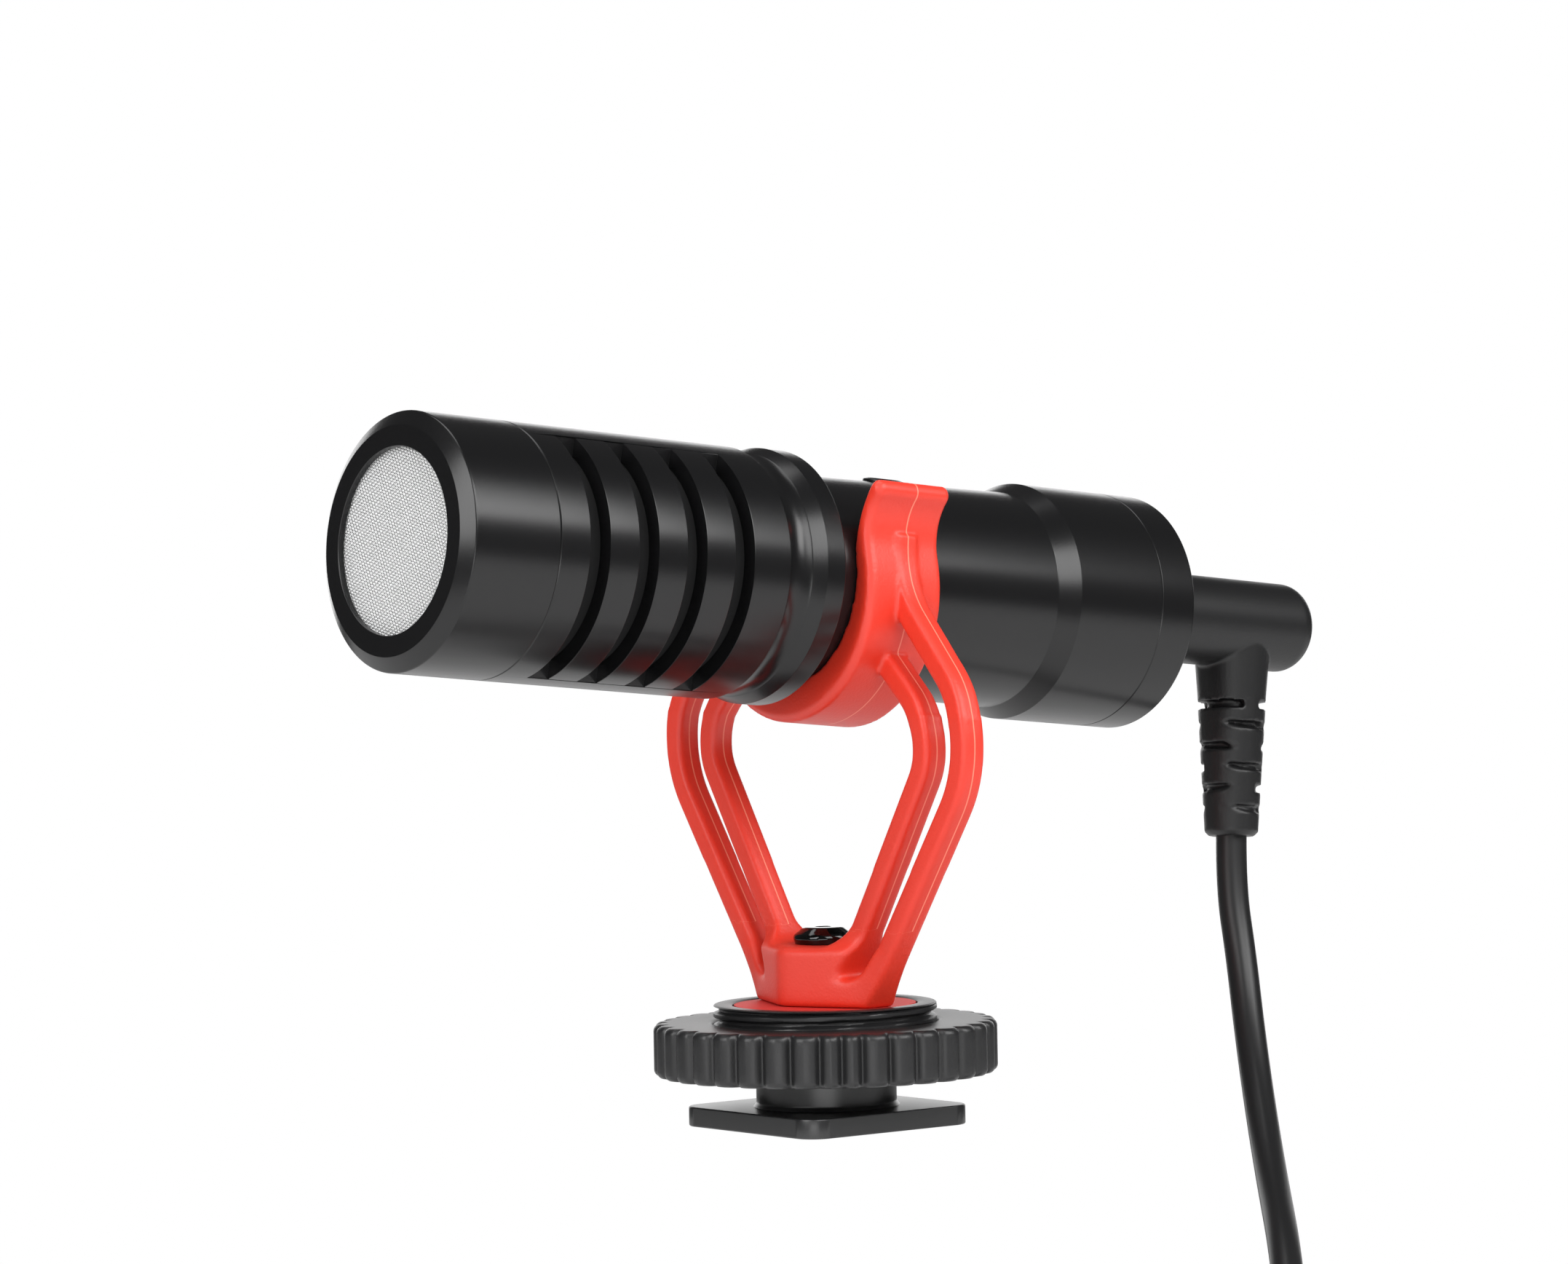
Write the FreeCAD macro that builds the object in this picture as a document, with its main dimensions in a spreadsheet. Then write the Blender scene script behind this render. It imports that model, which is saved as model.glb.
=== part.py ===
import FreeCAD, Part
import Sketcher
import math
import os
import re
from FreeCAD import Placement, Rotation, Vector

# On camera shotgun microphone, held by a lyre shock mount on a cold-shoe foot, with its short lead.
# Millimetres and degrees, +Z up. The microphone points along -X. The origin is the middle of the
# underside of the foot. Positions along the microphone are measured on its axis, from the point
# where the axis was set out, positive to the rear.

sizes = {
    # cold-shoe foot: plate, neck and threaded boss in one moulding
    "footSide": 18.6,
    "footCorner": 2.16,
    "footThick": 1.75,
    "neckRadius": 6.2,
    "neckFlare": 0.5,
    "neckTop": 5.0,
    "bossRadius": 9.88,
    "bossTop": 10.8,
    "bossEdge": 0.25,
    "padRadius": 8.03,
    "padThick": 1.2,
    "padDrop": 0.08,
    # lock wheel
    "wheelRadius": 15.19,
    "wheelBottom": 4.58,
    "wheelThick": 4.63,
    "wheelEdge": 0.45,
    "threadPlay": 0.06,
    "ribGapRadius": 0.62,
    "ribGapDepth": 0.42,
    # mounting screw, from above through block, pad and foot
    "screwHeadRadius": 2.46,
    "screwHeadThick": 1.4,
    "screwHeadEdge": 0.6,
    "screwRadius": 1.5,
    "screwPlay": 0.06,
    "screwTip": 2.4,
    "driveRadius": 1.0,
    "driveDeep": 0.8,
    # lyre, one elastomer moulding that is cut at its waist
    "waistHeight": 36.0,
    "armWide": 2.5,
    "armThick": 2.1,
    "armEdge": 0.3,
    "blockLongHalf": 7.7,
    "noseReach": 5.3,
    "noseRound": 0.5,
    "endReach": 8.5,
    "noseLift": 0.15,
    "noseFadeHigh": 3.45,
    "floorHeight": 16.0,
    "outerFootY": 6.47,
    "outerFootLift": 0.2,
    "outerMaxY": 19.95,
    "outerMaxDrop": 2.1,
    "outerLowRadius": 9.9622,
    "outerHighRadius": 8.2,
    "outerJoinIn": 0.67,
    "outerJoinRun": 0.31,
    "outerCoveRadius": 10.0,
    "innerFootY": 2.03,
    "innerMaxY": 14.95,
    "innerMaxDrop": 2.6,
    "innerLowRadius": 5.1003,
    "innerHighRadius": 5.95,
    # clip of the lyre round the microphone
    "clipWide": 8.3,
    "clipMiddle": 3.4,
    "armOffset": 0.21,
    "clipWall": 2.23,
    "clipDrop": 1.14,
    "clipFit": 0.05,
    # where the microphone sits
    "micX": -2.462,
    "micRise": 12.056,
    # front cap, mesh and foam
    "capLong": 9.38,
    "barrelRadius": 11.0,
    "faceDrop": 1.29,
    "capChamfer": 0.81,
    "lipWide": 1.71,
    "lipThick": 0.6,
    "capWall": 2.3,
    "meshThick": 0.5,
    "meshPlay": 0.04,
    "foamThick": 2.4,
    "capSpigot": 2.0,
    # slotted barrel
    "barrelLong": 24.34,
    "barrelWall": 1.5,
    "slotStart": 3.07,
    "slotWide": 2.05,
    "slotLand": 3.92,
    "bandBack": 0.3,
    "spineHalf": 4.04,
    "neckLong": 2.7,
    "neckTurn": 0.3,
    "neckDeep": 0.4,
    "neckCoveRadius": 2.6,
    "spigotPlay": 0.02,
    "linerThick": 0.35,
    "linerEndGap": 0.05,
    # capsule
    "holderFlange": 1.5,
    "holderLong": 4.8,
    "holderPlay": 0.1,
    "capsuleOver": 0.8,
    "capsuleLength": 5.0,
    "capsuleFit": 0.03,
    "leadRadius": 0.4,
    "leadHalfGap": 1.6,
    # body tube
    "tubeSpigot": 4.0,
    "rimSlope": 1.2,
    "rimWide": 2.02,
    "rimProud": 0.2,
    "rimGap": 2.63,
    "midDrop": 1.87,
    "midLong": 25.68,
    "midSwell": 0.62,
    "rearSlope": 1.94,
    "rearStep": 0.92,
    "rearLong": 9.76,
    "tubeWall": 0.93,
    "rearCapLong": 3.98,
    "rearEdge": 0.25,
    "rearSpigot": 2.5,
    "rearSpigotWall": 1.4,
    "tubePlay": 0.04,
    # retaining screw on top of the body tube
    "topScrewBack": 12.08,
    "topScrewRadius": 1.9,
    "topScrewProud": 0.33,
    "topScrewSink": 0.5,
    "topScrewShank": 1.0,
    # circuit board and socket
    "boardStart": 4.58,
    "boardHalfWide": 6.0,
    "boardThick": 1.0,
    "socketLong": 11.4,
    "socketHalfWide": 4.2,
    "socketHalfHigh": 3.6,
    "socketSeat": 0.6,
    "noseRadius": 3.0,
    "nosePlay": 0.05,
    "jackFit": 0.03,
    "jackDeep": 14.4,
    # 3.5 mm plugs
    "plugGap": 0.02,
    "plugRadius": 4.15,
    "plugLong": 22.2,
    "plugRound": 2.0,
    "plugFaceEdge": 0.3,
    "branchAlong": 14.6,
    "branchTopRadius": 3.75,
    "branchEnd": 7.3,
    "branchEndRadius": 3.17,
    "reliefStartRadius": 3.2,
    "reliefEndRadius": 2.5,
    "reliefEnd": 19.95,
    "reliefEdge": 0.4,
    "reliefSlotFirst": 7.75,
    "reliefSlotHigh": 0.72,
    "reliefSlotStep": 1.95,
    "reliefCoreRadius": 2.25,
    "pinRadius": 1.75,
    "pinLength": 14.0,
    "sleeveLength": 6.5,
    "insulatorLength": 0.8,
    "ringLength": 2.7,
    "tipNeckRadius": 1.15,
    "tipNeckLength": 0.9,
    "tipPointRadius": 0.5,
    "tipConeLength": 2.2,
    # cable: its radius, its first straight run out of the relief and the corners of its route
    "cableRadius": 1.45,
    "leadFirstRun": 4.9,
    "leadBx": 47.01,
    "leadBy": -3.54,
    "leadBz": 12.2,
    "leadCx": 45.29,
    "leadCy": -6.24,
    "leadCz": 6.16,
    "leadDx": 42.23,
    "leadDy": -10.62,
    "leadDz": -0.05,
    "leadEx": 36.97,
    "leadEy": -17.67,
    "leadEz": -6.31,
    "leadFx": 28.26,
    "leadFy": -28.67,
    "leadFz": -12.08,
    "leadGx": 22.43,
    "leadGy": -35.53,
    "leadGz": -20.01,
    # coil and tie
    "coilRadius": 16.0,
    "coilSpacing": 3.65,
    "coilLeadIn": 2.9,
    "coilTail": 11.0,
    "tieWide": 3.0,
    "tieThick": 0.9,
    "tiePlay": 0.2,
    # how far a cut runs past what it cuts
    "overrun": 2.0,
    # two measures nearer than this are the same
    "sameWithin": 0.0001,
    # the coil is measured against itself at this step, leaving out the stretch next to each place
    "coilStep": 1.0,
    "coilNextTo": 30.0,
}

angles = {
    "micPitchAngle": 5.53,
    "micRollAngle": 5.15,
    "plugRollAngle": -4.2,
    "ribStepAngle": 10.0,
    "ribFirstAngle": 243.5,
    "ribBackAngle": 229.0,
    "ribSeamAngle": 236.5,
    "ribSeamBackAngle": 51.0,
    "outerTopAngle": 45.0,
    "innerTopAngle": 49.0,
    "reliefWebAngle": 32.4,
    "reliefTurnAngle": 90.0,
    "reliefWebDirAngle": 38.0,
}

# Places along the microphone and radii across it, each worked out from the sizes above. The clip
# holds the microphone, so the places are counted from it, forwards and to the rear.
worked = {
    "micZ": "waistHeight + micRise",
    "outerJoinY": "midFrontRadius + outerJoinIn",
    "rimBack": "clipMiddle - clipWide / 2 - rimGap",
    "rimFront": "rimBack - rimWide",
    "crease": "rimFront - rimSlope",
    "spigotFront": "crease - tubeSpigot",
    "holderFront": "spigotFront - holderFlange",
    "barrelEnd": "crease - neckLong",
    "capSeam": "barrelEnd - barrelLong",
    "micFront": "capSeam - capLong",
    "slotFirst": "capSeam + slotStart",
    "slotStep": "(barrelLong - slotStart - slotWide - slotLand) / slotGaps",
    "midEnd": "rimBack + midLong",
    "rearStart": "midEnd + rearSlope",
    "rearSeam": "rearStart + rearLong",
    "rearEnd": "rearSeam + rearCapLong",
    "topScrewAlong": "rimBack + topScrewBack",
    "boardFront": "rimBack + boardStart",
    "socketFront": "rearSeam - socketLong",
    "socketBoxEnd": "rearSeam + socketSeat",
    "plugFace": "rearEnd + plugGap",
    "plugEnd": "plugFace + plugLong",
    "branchMiddle": "plugFace + branchAlong",
    "faceRadius": "barrelRadius - faceDrop",
    "apertureRadius": "faceRadius - lipWide",
    "capBore": "barrelRadius - capWall",
    "barrelBore": "barrelRadius - barrelWall",
    "neckEdgeRadius": "barrelRadius - neckDeep",
    "rimRadius": "barrelRadius + rimProud",
    "midFrontRadius": "barrelRadius - midDrop",
    "midEndRadius": "midFrontRadius + midSwell",
    "rearRadius": "midEndRadius + rearStep",
    "tubeBore": "midFrontRadius - tubeWall",
    "holderRadius": "tubeBore - holderPlay",
    "capsuleRadius": "holderRadius / 2 + capsuleOver",
    "clipOuterRadius": "midFrontRadius + clipWall",
    "clipEdge": "midFrontRadius * clipEdgeShare",
    "armPlaneAlong": "clipMiddle + armOffset",
    "outerFootDrop": "waistHeight - bossTop - outerFootLift",
    "innerFootDrop": "waistHeight - bossTop",
    "blockBottom": "bossTop - padDrop",
    "noseFlat": "floorHeight + noseLift",
    "noseFade": "noseFlat + noseFadeHigh",
    "pocketHeight": "blockBottom + (floorHeight - blockBottom) * pocketRiseShare",
}

# places on the clip's flared tips, sideways and up, as shares of the microphone's radius there
clipTipShares = {
    "top": (1.1993, 0.2848),
    "tipOut": (1.2727, 0.7996),
    "tipIn": (1.1227, 0.9091),
    "inTop": (0.9365, 0.3067),
}

ribCount = 17
ribBackCount = 18
slotCount = 4
slotGaps = slotCount - 1
pocketRiseShare = 0.6686
floorRoundShare = 0.706
clipEdgeShare = 0.055
reliefSlotRows = 3
coilTurns = 2
coilStretches = 9
coilEaseShare = 0.125
tieTurnShare = 0.75
bendShare = 0.45
alongShare = 0.0001

doc = FreeCAD.newDocument("OnCameraMicrophone")
sheet = doc.addObject("Spreadsheet::Sheet", "Sizes")
for row, (name, number) in enumerate(list(sizes.items()) + list(angles.items()), 1):
    sheet.set("A%d" % row, name)
    sheet.set("B%d" % row, repr(number))
    sheet.setAlias("B%d" % row, name)
doc.recompute()

words = set(sizes) | set(angles)
counts = {"slotGaps": slotGaps, "pocketRiseShare": pocketRiseShare, "clipEdgeShare": clipEdgeShare}
nodes = []


def reference(match):
    name = match.group(0)
    if name in worked:
        return "(" + tied(worked[name]) + ")"
    if name in counts:
        return repr(counts[name])
    return "Sizes." + name if name in words else name


def tied(text):
    # a formula in plain names, as the sheet's own references
    return re.sub(r"[A-Za-z]+", reference, text)


def value(text):
    return float(sheet.evalExpression(tied(text)))


def newBody(name):
    body = doc.addObject("PartDesign::Body", name)
    body.Label = name
    nodes.append(body)
    return body


def newShape(name, shape, placement=Placement()):
    piece = doc.addObject("Part::Feature", name)
    piece.Label = name
    piece.Shape = shape
    piece.Placement = placement
    nodes.append(piece)
    return piece


def originPlane(body, role):
    return [part for part in body.Origin.OriginFeatures if part.Role == role][0]


def emptySketch(body, name, plane, lift=None):
    sketch = body.newObject("Sketcher::SketchObject", name)
    sketch.AttachmentSupport = (originPlane(body, plane), [""])
    sketch.MapMode = "FlatFace"
    if lift:
        sketch.setExpression("AttachmentOffset.Base.z", tied(lift))
    return sketch


def fix(sketch, kind, index, place, formula):
    # one coordinate of a point, or one radius, held by a formula
    if formula == "0":
        axis = -2 if kind == "DistanceX" else -1
        sketch.addConstraint(Sketcher.Constraint("PointOnObject", index, place, axis))
        return
    if kind == "Radius":
        held = sketch.addConstraint(Sketcher.Constraint(kind, index, value(formula)))
    else:
        held = sketch.addConstraint(Sketcher.Constraint(kind, -1, 1, index, place, value(formula)))
    sketch.setExpression("Constraints[%d]" % held, tied(formula))


def addOutline(sketch, points):
    # A closed outline. A point is (x, y), or (x, y, radius, turn) where an arc leads on from it:
    # turn 1 runs anticlockwise, -1 clockwise.
    first = sketch.GeometryCount
    places = [Vector(value(point[0]), value(point[1]), 0) for point in points]
    ends = []
    for i, point in enumerate(points):
        start, end = places[i], places[(i + 1) % len(points)]
        if len(point) == 2:
            sketch.addGeometry(Part.LineSegment(start, end))
            ends.append((1, 2))
            continue
        radius, turn = value(point[2]), point[3]
        chord = end - start
        side = Vector(-chord.y, chord.x, 0).normalize() * turn
        middle = (start + end) * 0.5
        centre = middle + side * math.sqrt(max(radius ** 2 - chord.Length ** 2 / 4, 0))
        one, two = (start, end) if turn > 0 else (end, start)
        circle = Part.Circle(centre, Vector(0, 0, 1), radius)
        a = math.atan2(one.y - centre.y, one.x - centre.x)
        b = math.atan2(two.y - centre.y, two.x - centre.x)
        sketch.addGeometry(Part.ArcOfCircle(circle, a, b if b > a else b + 2 * math.pi))
        ends.append((1, 2) if turn > 0 else (2, 1))
    for i, point in enumerate(points):
        after = (i + 1) % len(points)
        join = (first + i, ends[i][1], first + after, ends[after][0])
        sketch.addConstraint(Sketcher.Constraint("Coincident", *join))
    for i, point in enumerate(points):
        fix(sketch, "DistanceX", first + i, ends[i][0], point[0])
        fix(sketch, "DistanceY", first + i, ends[i][0], point[1])
        if len(point) == 4:
            fix(sketch, "Radius", first + i, 0, point[2])


def addCircle(sketch, x, y, radius):
    index = sketch.addGeometry(Part.Circle(Vector(value(x), value(y), 0), Vector(0, 0, 1), value(radius)))
    fix(sketch, "Radius", index, 0, radius)
    fix(sketch, "DistanceX", index, 3, x)
    fix(sketch, "DistanceY", index, 3, y)


def addRectangle(sketch, x0, y0, x1, y1):
    addOutline(sketch, [(x0, y0), (x1, y0), (x1, y1), (x0, y1)])


def turned(body, name, points, axis="H_Axis", plane="XY_Plane", kind="Revolution", halfTurn=False):
    # a profile spun round the sketch's own axis, once or as one half
    sketch = emptySketch(body, name + "Profile", plane)
    addOutline(sketch, points)
    feature = body.newObject("PartDesign::" + kind, name)
    feature.Profile = sketch
    feature.ReferenceAxis = (sketch, [axis])
    feature.Angle = 180 if halfTurn else 360
    doc.recompute()
    return feature


def padded(body, name, sketch, length, symmetric=False, reverse=False, kind="Pad"):
    feature = body.newObject("PartDesign::" + kind, name)
    feature.Profile = sketch
    if symmetric:
        feature.SideType = "Symmetric"
    feature.Reversed = reverse
    feature.setExpression("Length", tied(length))
    doc.recompute()
    return feature


def edges(body, wanted):
    doc.recompute()
    return ["Edge%d" % (i + 1) for i, edge in enumerate(body.Shape.Edges) if wanted(edge)]


def softened(body, name, wanted, size, kind="Fillet"):
    base = body.Tip
    names = edges(body, wanted)
    feature = body.newObject("PartDesign::" + kind, name)
    feature.Base = (base, names)
    feature.setExpression("Radius" if kind == "Fillet" else "Size", tied(size))
    doc.recompute()
    return feature


def near(a, b):
    return abs(a - b) < value("sameWithin")


def upright(edge):
    box = edge.BoundBox
    return not near(box.ZLength, 0) and near(box.XLength, 0) and near(box.YLength, 0)


# Where the microphone and its plug sit
micTurn = Rotation(Vector(0, 1, 0), value("micPitchAngle"))
micPlace = Vector(value("micX"), 0, value("micZ"))
tilted = Placement(micPlace, micTurn)
inMic = Placement(micPlace, micTurn * Rotation(Vector(1, 0, 0), value("micRollAngle")))
inPlug = Placement(micPlace, micTurn * Rotation(Vector(1, 0, 0), value("plugRollAngle")))

# Cold-shoe foot with its lock wheel and screw
foot = newBody("shoe_foot")
sketch = emptySketch(foot, "PlateOutline", "XY_Plane")
addRectangle(sketch, "-footSide / 2", "-footSide / 2", "footSide / 2", "footSide / 2")
padded(foot, "Plate", sketch, "footThick")
softened(foot, "PlateCorners", upright, "footCorner")
turned(foot, "NeckAndBoss", [
    ("0", "footThick / 2"),
    ("neckRadius + neckFlare", "footThick / 2"),
    ("neckRadius + neckFlare", "footThick"),
    ("neckRadius", "footThick + neckFlare"),
    ("neckRadius", "neckTop"),
    ("bossRadius - bossEdge", "neckTop"),
    ("bossRadius", "neckTop + bossEdge"),
    ("bossRadius", "bossTop - bossEdge"),
    ("bossRadius - bossEdge", "bossTop"),
    ("padRadius + screwPlay", "bossTop"),
    ("padRadius + screwPlay", "bossTop - padThick - padDrop"),
    ("0", "bossTop - padThick - padDrop"),
], axis="V_Axis", plane="XZ_Plane")
sketch = emptySketch(foot, "ScrewHoleOutline", "XY_Plane", "bossTop")
addCircle(sketch, "0", "0", "screwRadius + screwPlay")
padded(foot, "ScrewHole", sketch, "bossTop - screwTip + screwPlay", kind="Pocket")

padDisc = newBody("shoe_pad")
sketch = emptySketch(padDisc, "DiscOutline", "XY_Plane", "bossTop - padDrop - padThick")
addCircle(sketch, "0", "0", "padRadius")
addCircle(sketch, "0", "0", "screwRadius + screwPlay")
padded(padDisc, "Disc", sketch, "padThick")

wheel = newBody("lock_wheel")
turned(wheel, "Ring", [
    ("bossRadius + threadPlay", "wheelBottom"),
    ("wheelRadius - wheelEdge", "wheelBottom"),
    ("wheelRadius", "wheelBottom + wheelEdge"),
    ("wheelRadius", "wheelBottom + wheelThick - wheelEdge"),
    ("wheelRadius - wheelEdge", "wheelBottom + wheelThick"),
    ("bossRadius + threadPlay", "wheelBottom + wheelThick"),
], axis="V_Axis", plane="XZ_Plane")
gapCentre = "(wheelRadius - ribGapDepth + ribGapRadius)"


def ribGap(name, angleNames):
    sketch = emptySketch(wheel, name + "Outline", "XY_Plane")
    for angle in angleNames:
        addCircle(sketch, gapCentre + " * cos(%s)" % angle, gapCentre + " * sin(%s)" % angle, "ribGapRadius")
    return padded(wheel, name, sketch, "wheelBottom + wheelThick + overrun", reverse=True, kind="Pocket")


def repeatedRound(body, name, original, step, count, backwards):
    pattern = body.newObject("PartDesign::PolarPattern", name)
    pattern.Originals = [original]
    pattern.Axis = (originPlane(body, "Z_Axis"), [""])
    pattern.Mode = "Spacing"
    pattern.Reversed = backwards
    pattern.setExpression("Offset", tied(step))
    pattern.Occurrences = count
    body.Tip = pattern
    doc.recompute()
    return pattern


front = ribGap("FrontGap", ["ribFirstAngle"])
repeatedRound(wheel, "FrontGaps", front, "ribStepAngle", ribCount, False)
back = ribGap("BackGap", ["ribBackAngle"])
repeatedRound(wheel, "BackGaps", back, "ribStepAngle", ribBackCount, True)
ribGap("SeamGaps", ["ribSeamAngle", "ribSeamBackAngle"])

screw = newBody("mount_screw")
turned(screw, "HeadAndShank", [
    ("0", "screwTip"),
    ("screwRadius", "screwTip"),
    ("screwRadius", "floorHeight"),
    ("screwHeadRadius", "floorHeight"),
    ("screwHeadRadius", "floorHeight + screwHeadThick - screwHeadEdge"),
    ("screwHeadRadius - screwHeadEdge", "floorHeight + screwHeadThick"),
    ("driveRadius", "floorHeight + screwHeadThick"),
    ("driveRadius", "floorHeight + screwHeadThick - driveDeep"),
    ("0", "floorHeight + screwHeadThick - driveDeep"),
], axis="V_Axis", plane="XZ_Plane")

# Lyre shock mount
# One moulding, symmetric left and right. Its arms lie in one plane, so each is a flat strip along
# a centre line of straights and tangent arcs. In the arm plane y is to the side and r is the rise
# above the waist. The waist is where the arms bend when the microphone nods, and the clip half
# above it is tilted with the microphone.
armHalf = value("armThick") / 2
armWide = value("armWide")
waist = value("waistHeight")
waistInMic = tilted.inverse().multVec(Vector(0, 0, waist))
clipCentre = Vector(0, 0, -waistInMic.z - value("clipDrop"))


def radians(name):
    return math.radians(value(name))


def strip(stretches, half):
    # the flat face between two offsets of a centre line, whose stretches are edges laid end to end
    sides = []
    for sign in (1, -1):
        offset = []
        for edge in stretches:
            places = []
            for share in (0, 0.5, 1):
                at = edge.FirstParameter + (edge.LastParameter - edge.FirstParameter) * share
                along = edge.tangentAt(at)
                places.append(edge.valueAt(at) + Vector(0, -along.z, along.y) * half * sign)
            straight = isinstance(edge.Curve, Part.Line)
            offset.append(Part.LineSegment(places[0], places[2]) if straight else Part.Arc(*places))
        sides.append([curve.toShape() for curve in offset])
    out, back = sides
    caps = [Part.LineSegment(out[0].Vertexes[0].Point, back[0].Vertexes[0].Point).toShape(),
            Part.LineSegment(out[-1].Vertexes[-1].Point, back[-1].Vertexes[-1].Point).toShape()]
    return Part.Face(Part.Wire(Part.__sortEdges__(out + back + caps)))


def arcBetween(centre, radius, fromAngle, toAngle):
    places = []
    for share in (0, 0.5, 1):
        angle = fromAngle + (toAngle - fromAngle) * share
        places.append(centre + Vector(0, math.cos(angle), math.sin(angle)) * radius)
    return Part.Arc(*places).toShape(), places[2]


def line(start, end):
    return Part.LineSegment(start, end).toShape()


def leanOf(foot, widest, radius):
    # how far the straight foot run leans, where it leads into the arc that ends at the widest point
    across, rise = widest.y - foot.y - radius, widest.z - foot.z
    return math.acos(-radius / math.hypot(across, rise)) - math.atan2(rise, across)


def outerCentreLine():
    # up and out from the block, over the widest point, in again, and up into the side of the clip
    top = radians("outerTopAngle")
    foot = Vector(0, value("outerFootY"), -value("outerFootDrop"))
    widest = Vector(0, value("outerMaxY"), -value("outerMaxDrop"))
    lowRadius = value("outerLowRadius")
    lean = leanOf(foot, widest, lowRadius)
    lowArc, end = arcBetween(widest - Vector(0, lowRadius, 0), lowRadius, -lean, 0)
    start = lowArc.valueAt(lowArc.FirstParameter)
    high = widest - Vector(0, value("outerHighRadius"), 0)
    highArc, highEnd = arcBetween(high, value("outerHighRadius"), 0, top)
    # the cove that turns the arm upright again, tangent to the clip's side
    cove = value("outerCoveRadius")
    heading = Vector(0, -math.sin(top), math.cos(top))
    coveDrop = (highEnd.y - value("outerJoinY") - cove * (1 - math.cos(top))) / math.sin(top)
    coveStart = highEnd + heading * coveDrop
    coveCentre = coveStart + Vector(0, math.cos(top), math.sin(top)) * cove
    coveArc, coveEnd = arcBetween(coveCentre, cove, math.pi + top, math.pi)
    finish = coveEnd + Vector(0, 0, value("outerJoinRun"))
    return [line(foot, start), lowArc, highArc, line(highEnd, coveStart), coveArc, line(coveEnd, finish)]


def innerCentreLine():
    top = radians("innerTopAngle")
    foot = Vector(0, value("innerFootY"), -value("innerFootDrop"))
    widest = Vector(0, value("innerMaxY"), -value("innerMaxDrop"))
    lowRadius = value("innerLowRadius")
    lean = leanOf(foot, widest, lowRadius)
    lowArc, end = arcBetween(widest - Vector(0, lowRadius, 0), lowRadius, -lean, 0)
    start = lowArc.valueAt(lowArc.FirstParameter)
    high = widest - Vector(0, value("innerHighRadius"), 0)
    highArc, highEnd = arcBetween(high, value("innerHighRadius"), 0, top)
    # straight on into the middle of the clip's wall
    heading = Vector(0, -math.sin(top), math.cos(top))
    out = highEnd - clipCentre
    back = -out.dot(heading)
    wall = value("clipOuterRadius - clipWall / 2")
    finish = highEnd + heading * (back - math.sqrt(back ** 2 - out.dot(out) + wall ** 2))
    return [line(foot, start), lowArc, highArc, line(highEnd, finish)], lean


def arm(stretches):
    slab = strip(stretches, armHalf).extrude(Vector(armWide, 0, 0))
    slab.translate(Vector(-armWide / 2, 0, 0))
    first, last = stretches[0], stretches[-1]
    ends = []
    for end in (first.valueAt(first.FirstParameter), last.valueAt(last.LastParameter)):
        ends += [end + Vector(side * armWide / 2, 0, 0) for side in (1, -1)]
    rims = []
    for edge in slab.Edges:
        apart = min(edge.CenterOfMass.distanceToPoint(end) for end in ends)
        if near(edge.BoundBox.XLength, 0) and apart > armHalf / 2:
            rims.append(edge)
    return slab.makeChamfer(value("armEdge"), rims)


def mirrored(shape):
    return shape.mirror(Vector(0, 0, 0), Vector(0, 1, 0))


outerLine = outerCentreLine()
innerLine, innerLean = innerCentreLine()
oneSide = [arm(outerLine), arm(innerLine)]
arms = oneSide + [mirrored(shape) for shape in oneSide]

big = value("waistHeight") * 2
halfTilt = Rotation(Vector(0, 1, 0), value("micPitchAngle") / 2)


def halfSpace(above):
    box = Part.makeBox(big, big, big, Vector(-big / 2, -big / 2, 0 if above else -big))
    box.Placement = Placement(Vector(0, 0, 0), halfTilt if not above else halfTilt.inverted())
    return box


def prism(points, low, high):
    wire = Part.makePolygon([Vector(x, y, low) for x, y in points + points[:1]])
    return Part.Face(wire).extrude(Vector(0, 0, high - low))


# The block between the arms' feet: its outline in the arm plane, thick in the middle, where the
# screw goes through, and drawn in to the arms' own width at both ends.
blockLow = value("blockBottom") - waist
floor = value("floorHeight") - waist
endHalf = value("blockLongHalf")


def sideOf(stretches, height, sign):
    # y of one side of an arm's straight foot run at a height
    first = stretches[0]
    along = first.tangentAt(first.FirstParameter)
    place = first.valueAt(first.FirstParameter) + Vector(0, along.z, -along.y) * armHalf * sign
    return place.y + (height - place.z) * along.y / along.z


lean = innerLean
bend = math.pi / 2 - lean
cornerY = sideOf(innerLine, floor, -1)
tangent = cornerY * floorRoundShare
roundRadius = tangent / math.tan(bend / 2)
floorEnd = Vector(0, cornerY - tangent, floor)
riseEnd = Vector(0, cornerY + tangent * math.sin(lean), floor + tangent * math.cos(lean))
roundCentre = floorEnd + Vector(0, 0, roundRadius)
roundMiddle = roundCentre + Vector(0, math.sin(bend / 2), -math.cos(bend / 2)) * roundRadius
pocketRise = value("pocketHeight") - waist
pocketHalf = (sideOf(outerLine, pocketRise, -1) - sideOf(innerLine, pocketRise, 1)) / 2
pocketY = sideOf(outerLine, pocketRise, -1) - pocketHalf
pocketRadius = pocketHalf * math.cos(lean)
insideInner = Vector(0, sideOf(innerLine, riseEnd.z, 0), riseEnd.z)
pocketInner = Vector(0, sideOf(innerLine, pocketRise, 0), pocketRise)
pocketOuter = Vector(0, sideOf(outerLine, pocketRise, 0), pocketRise)


def flipped(place):
    return Vector(place.x, -place.y, place.z)


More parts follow.
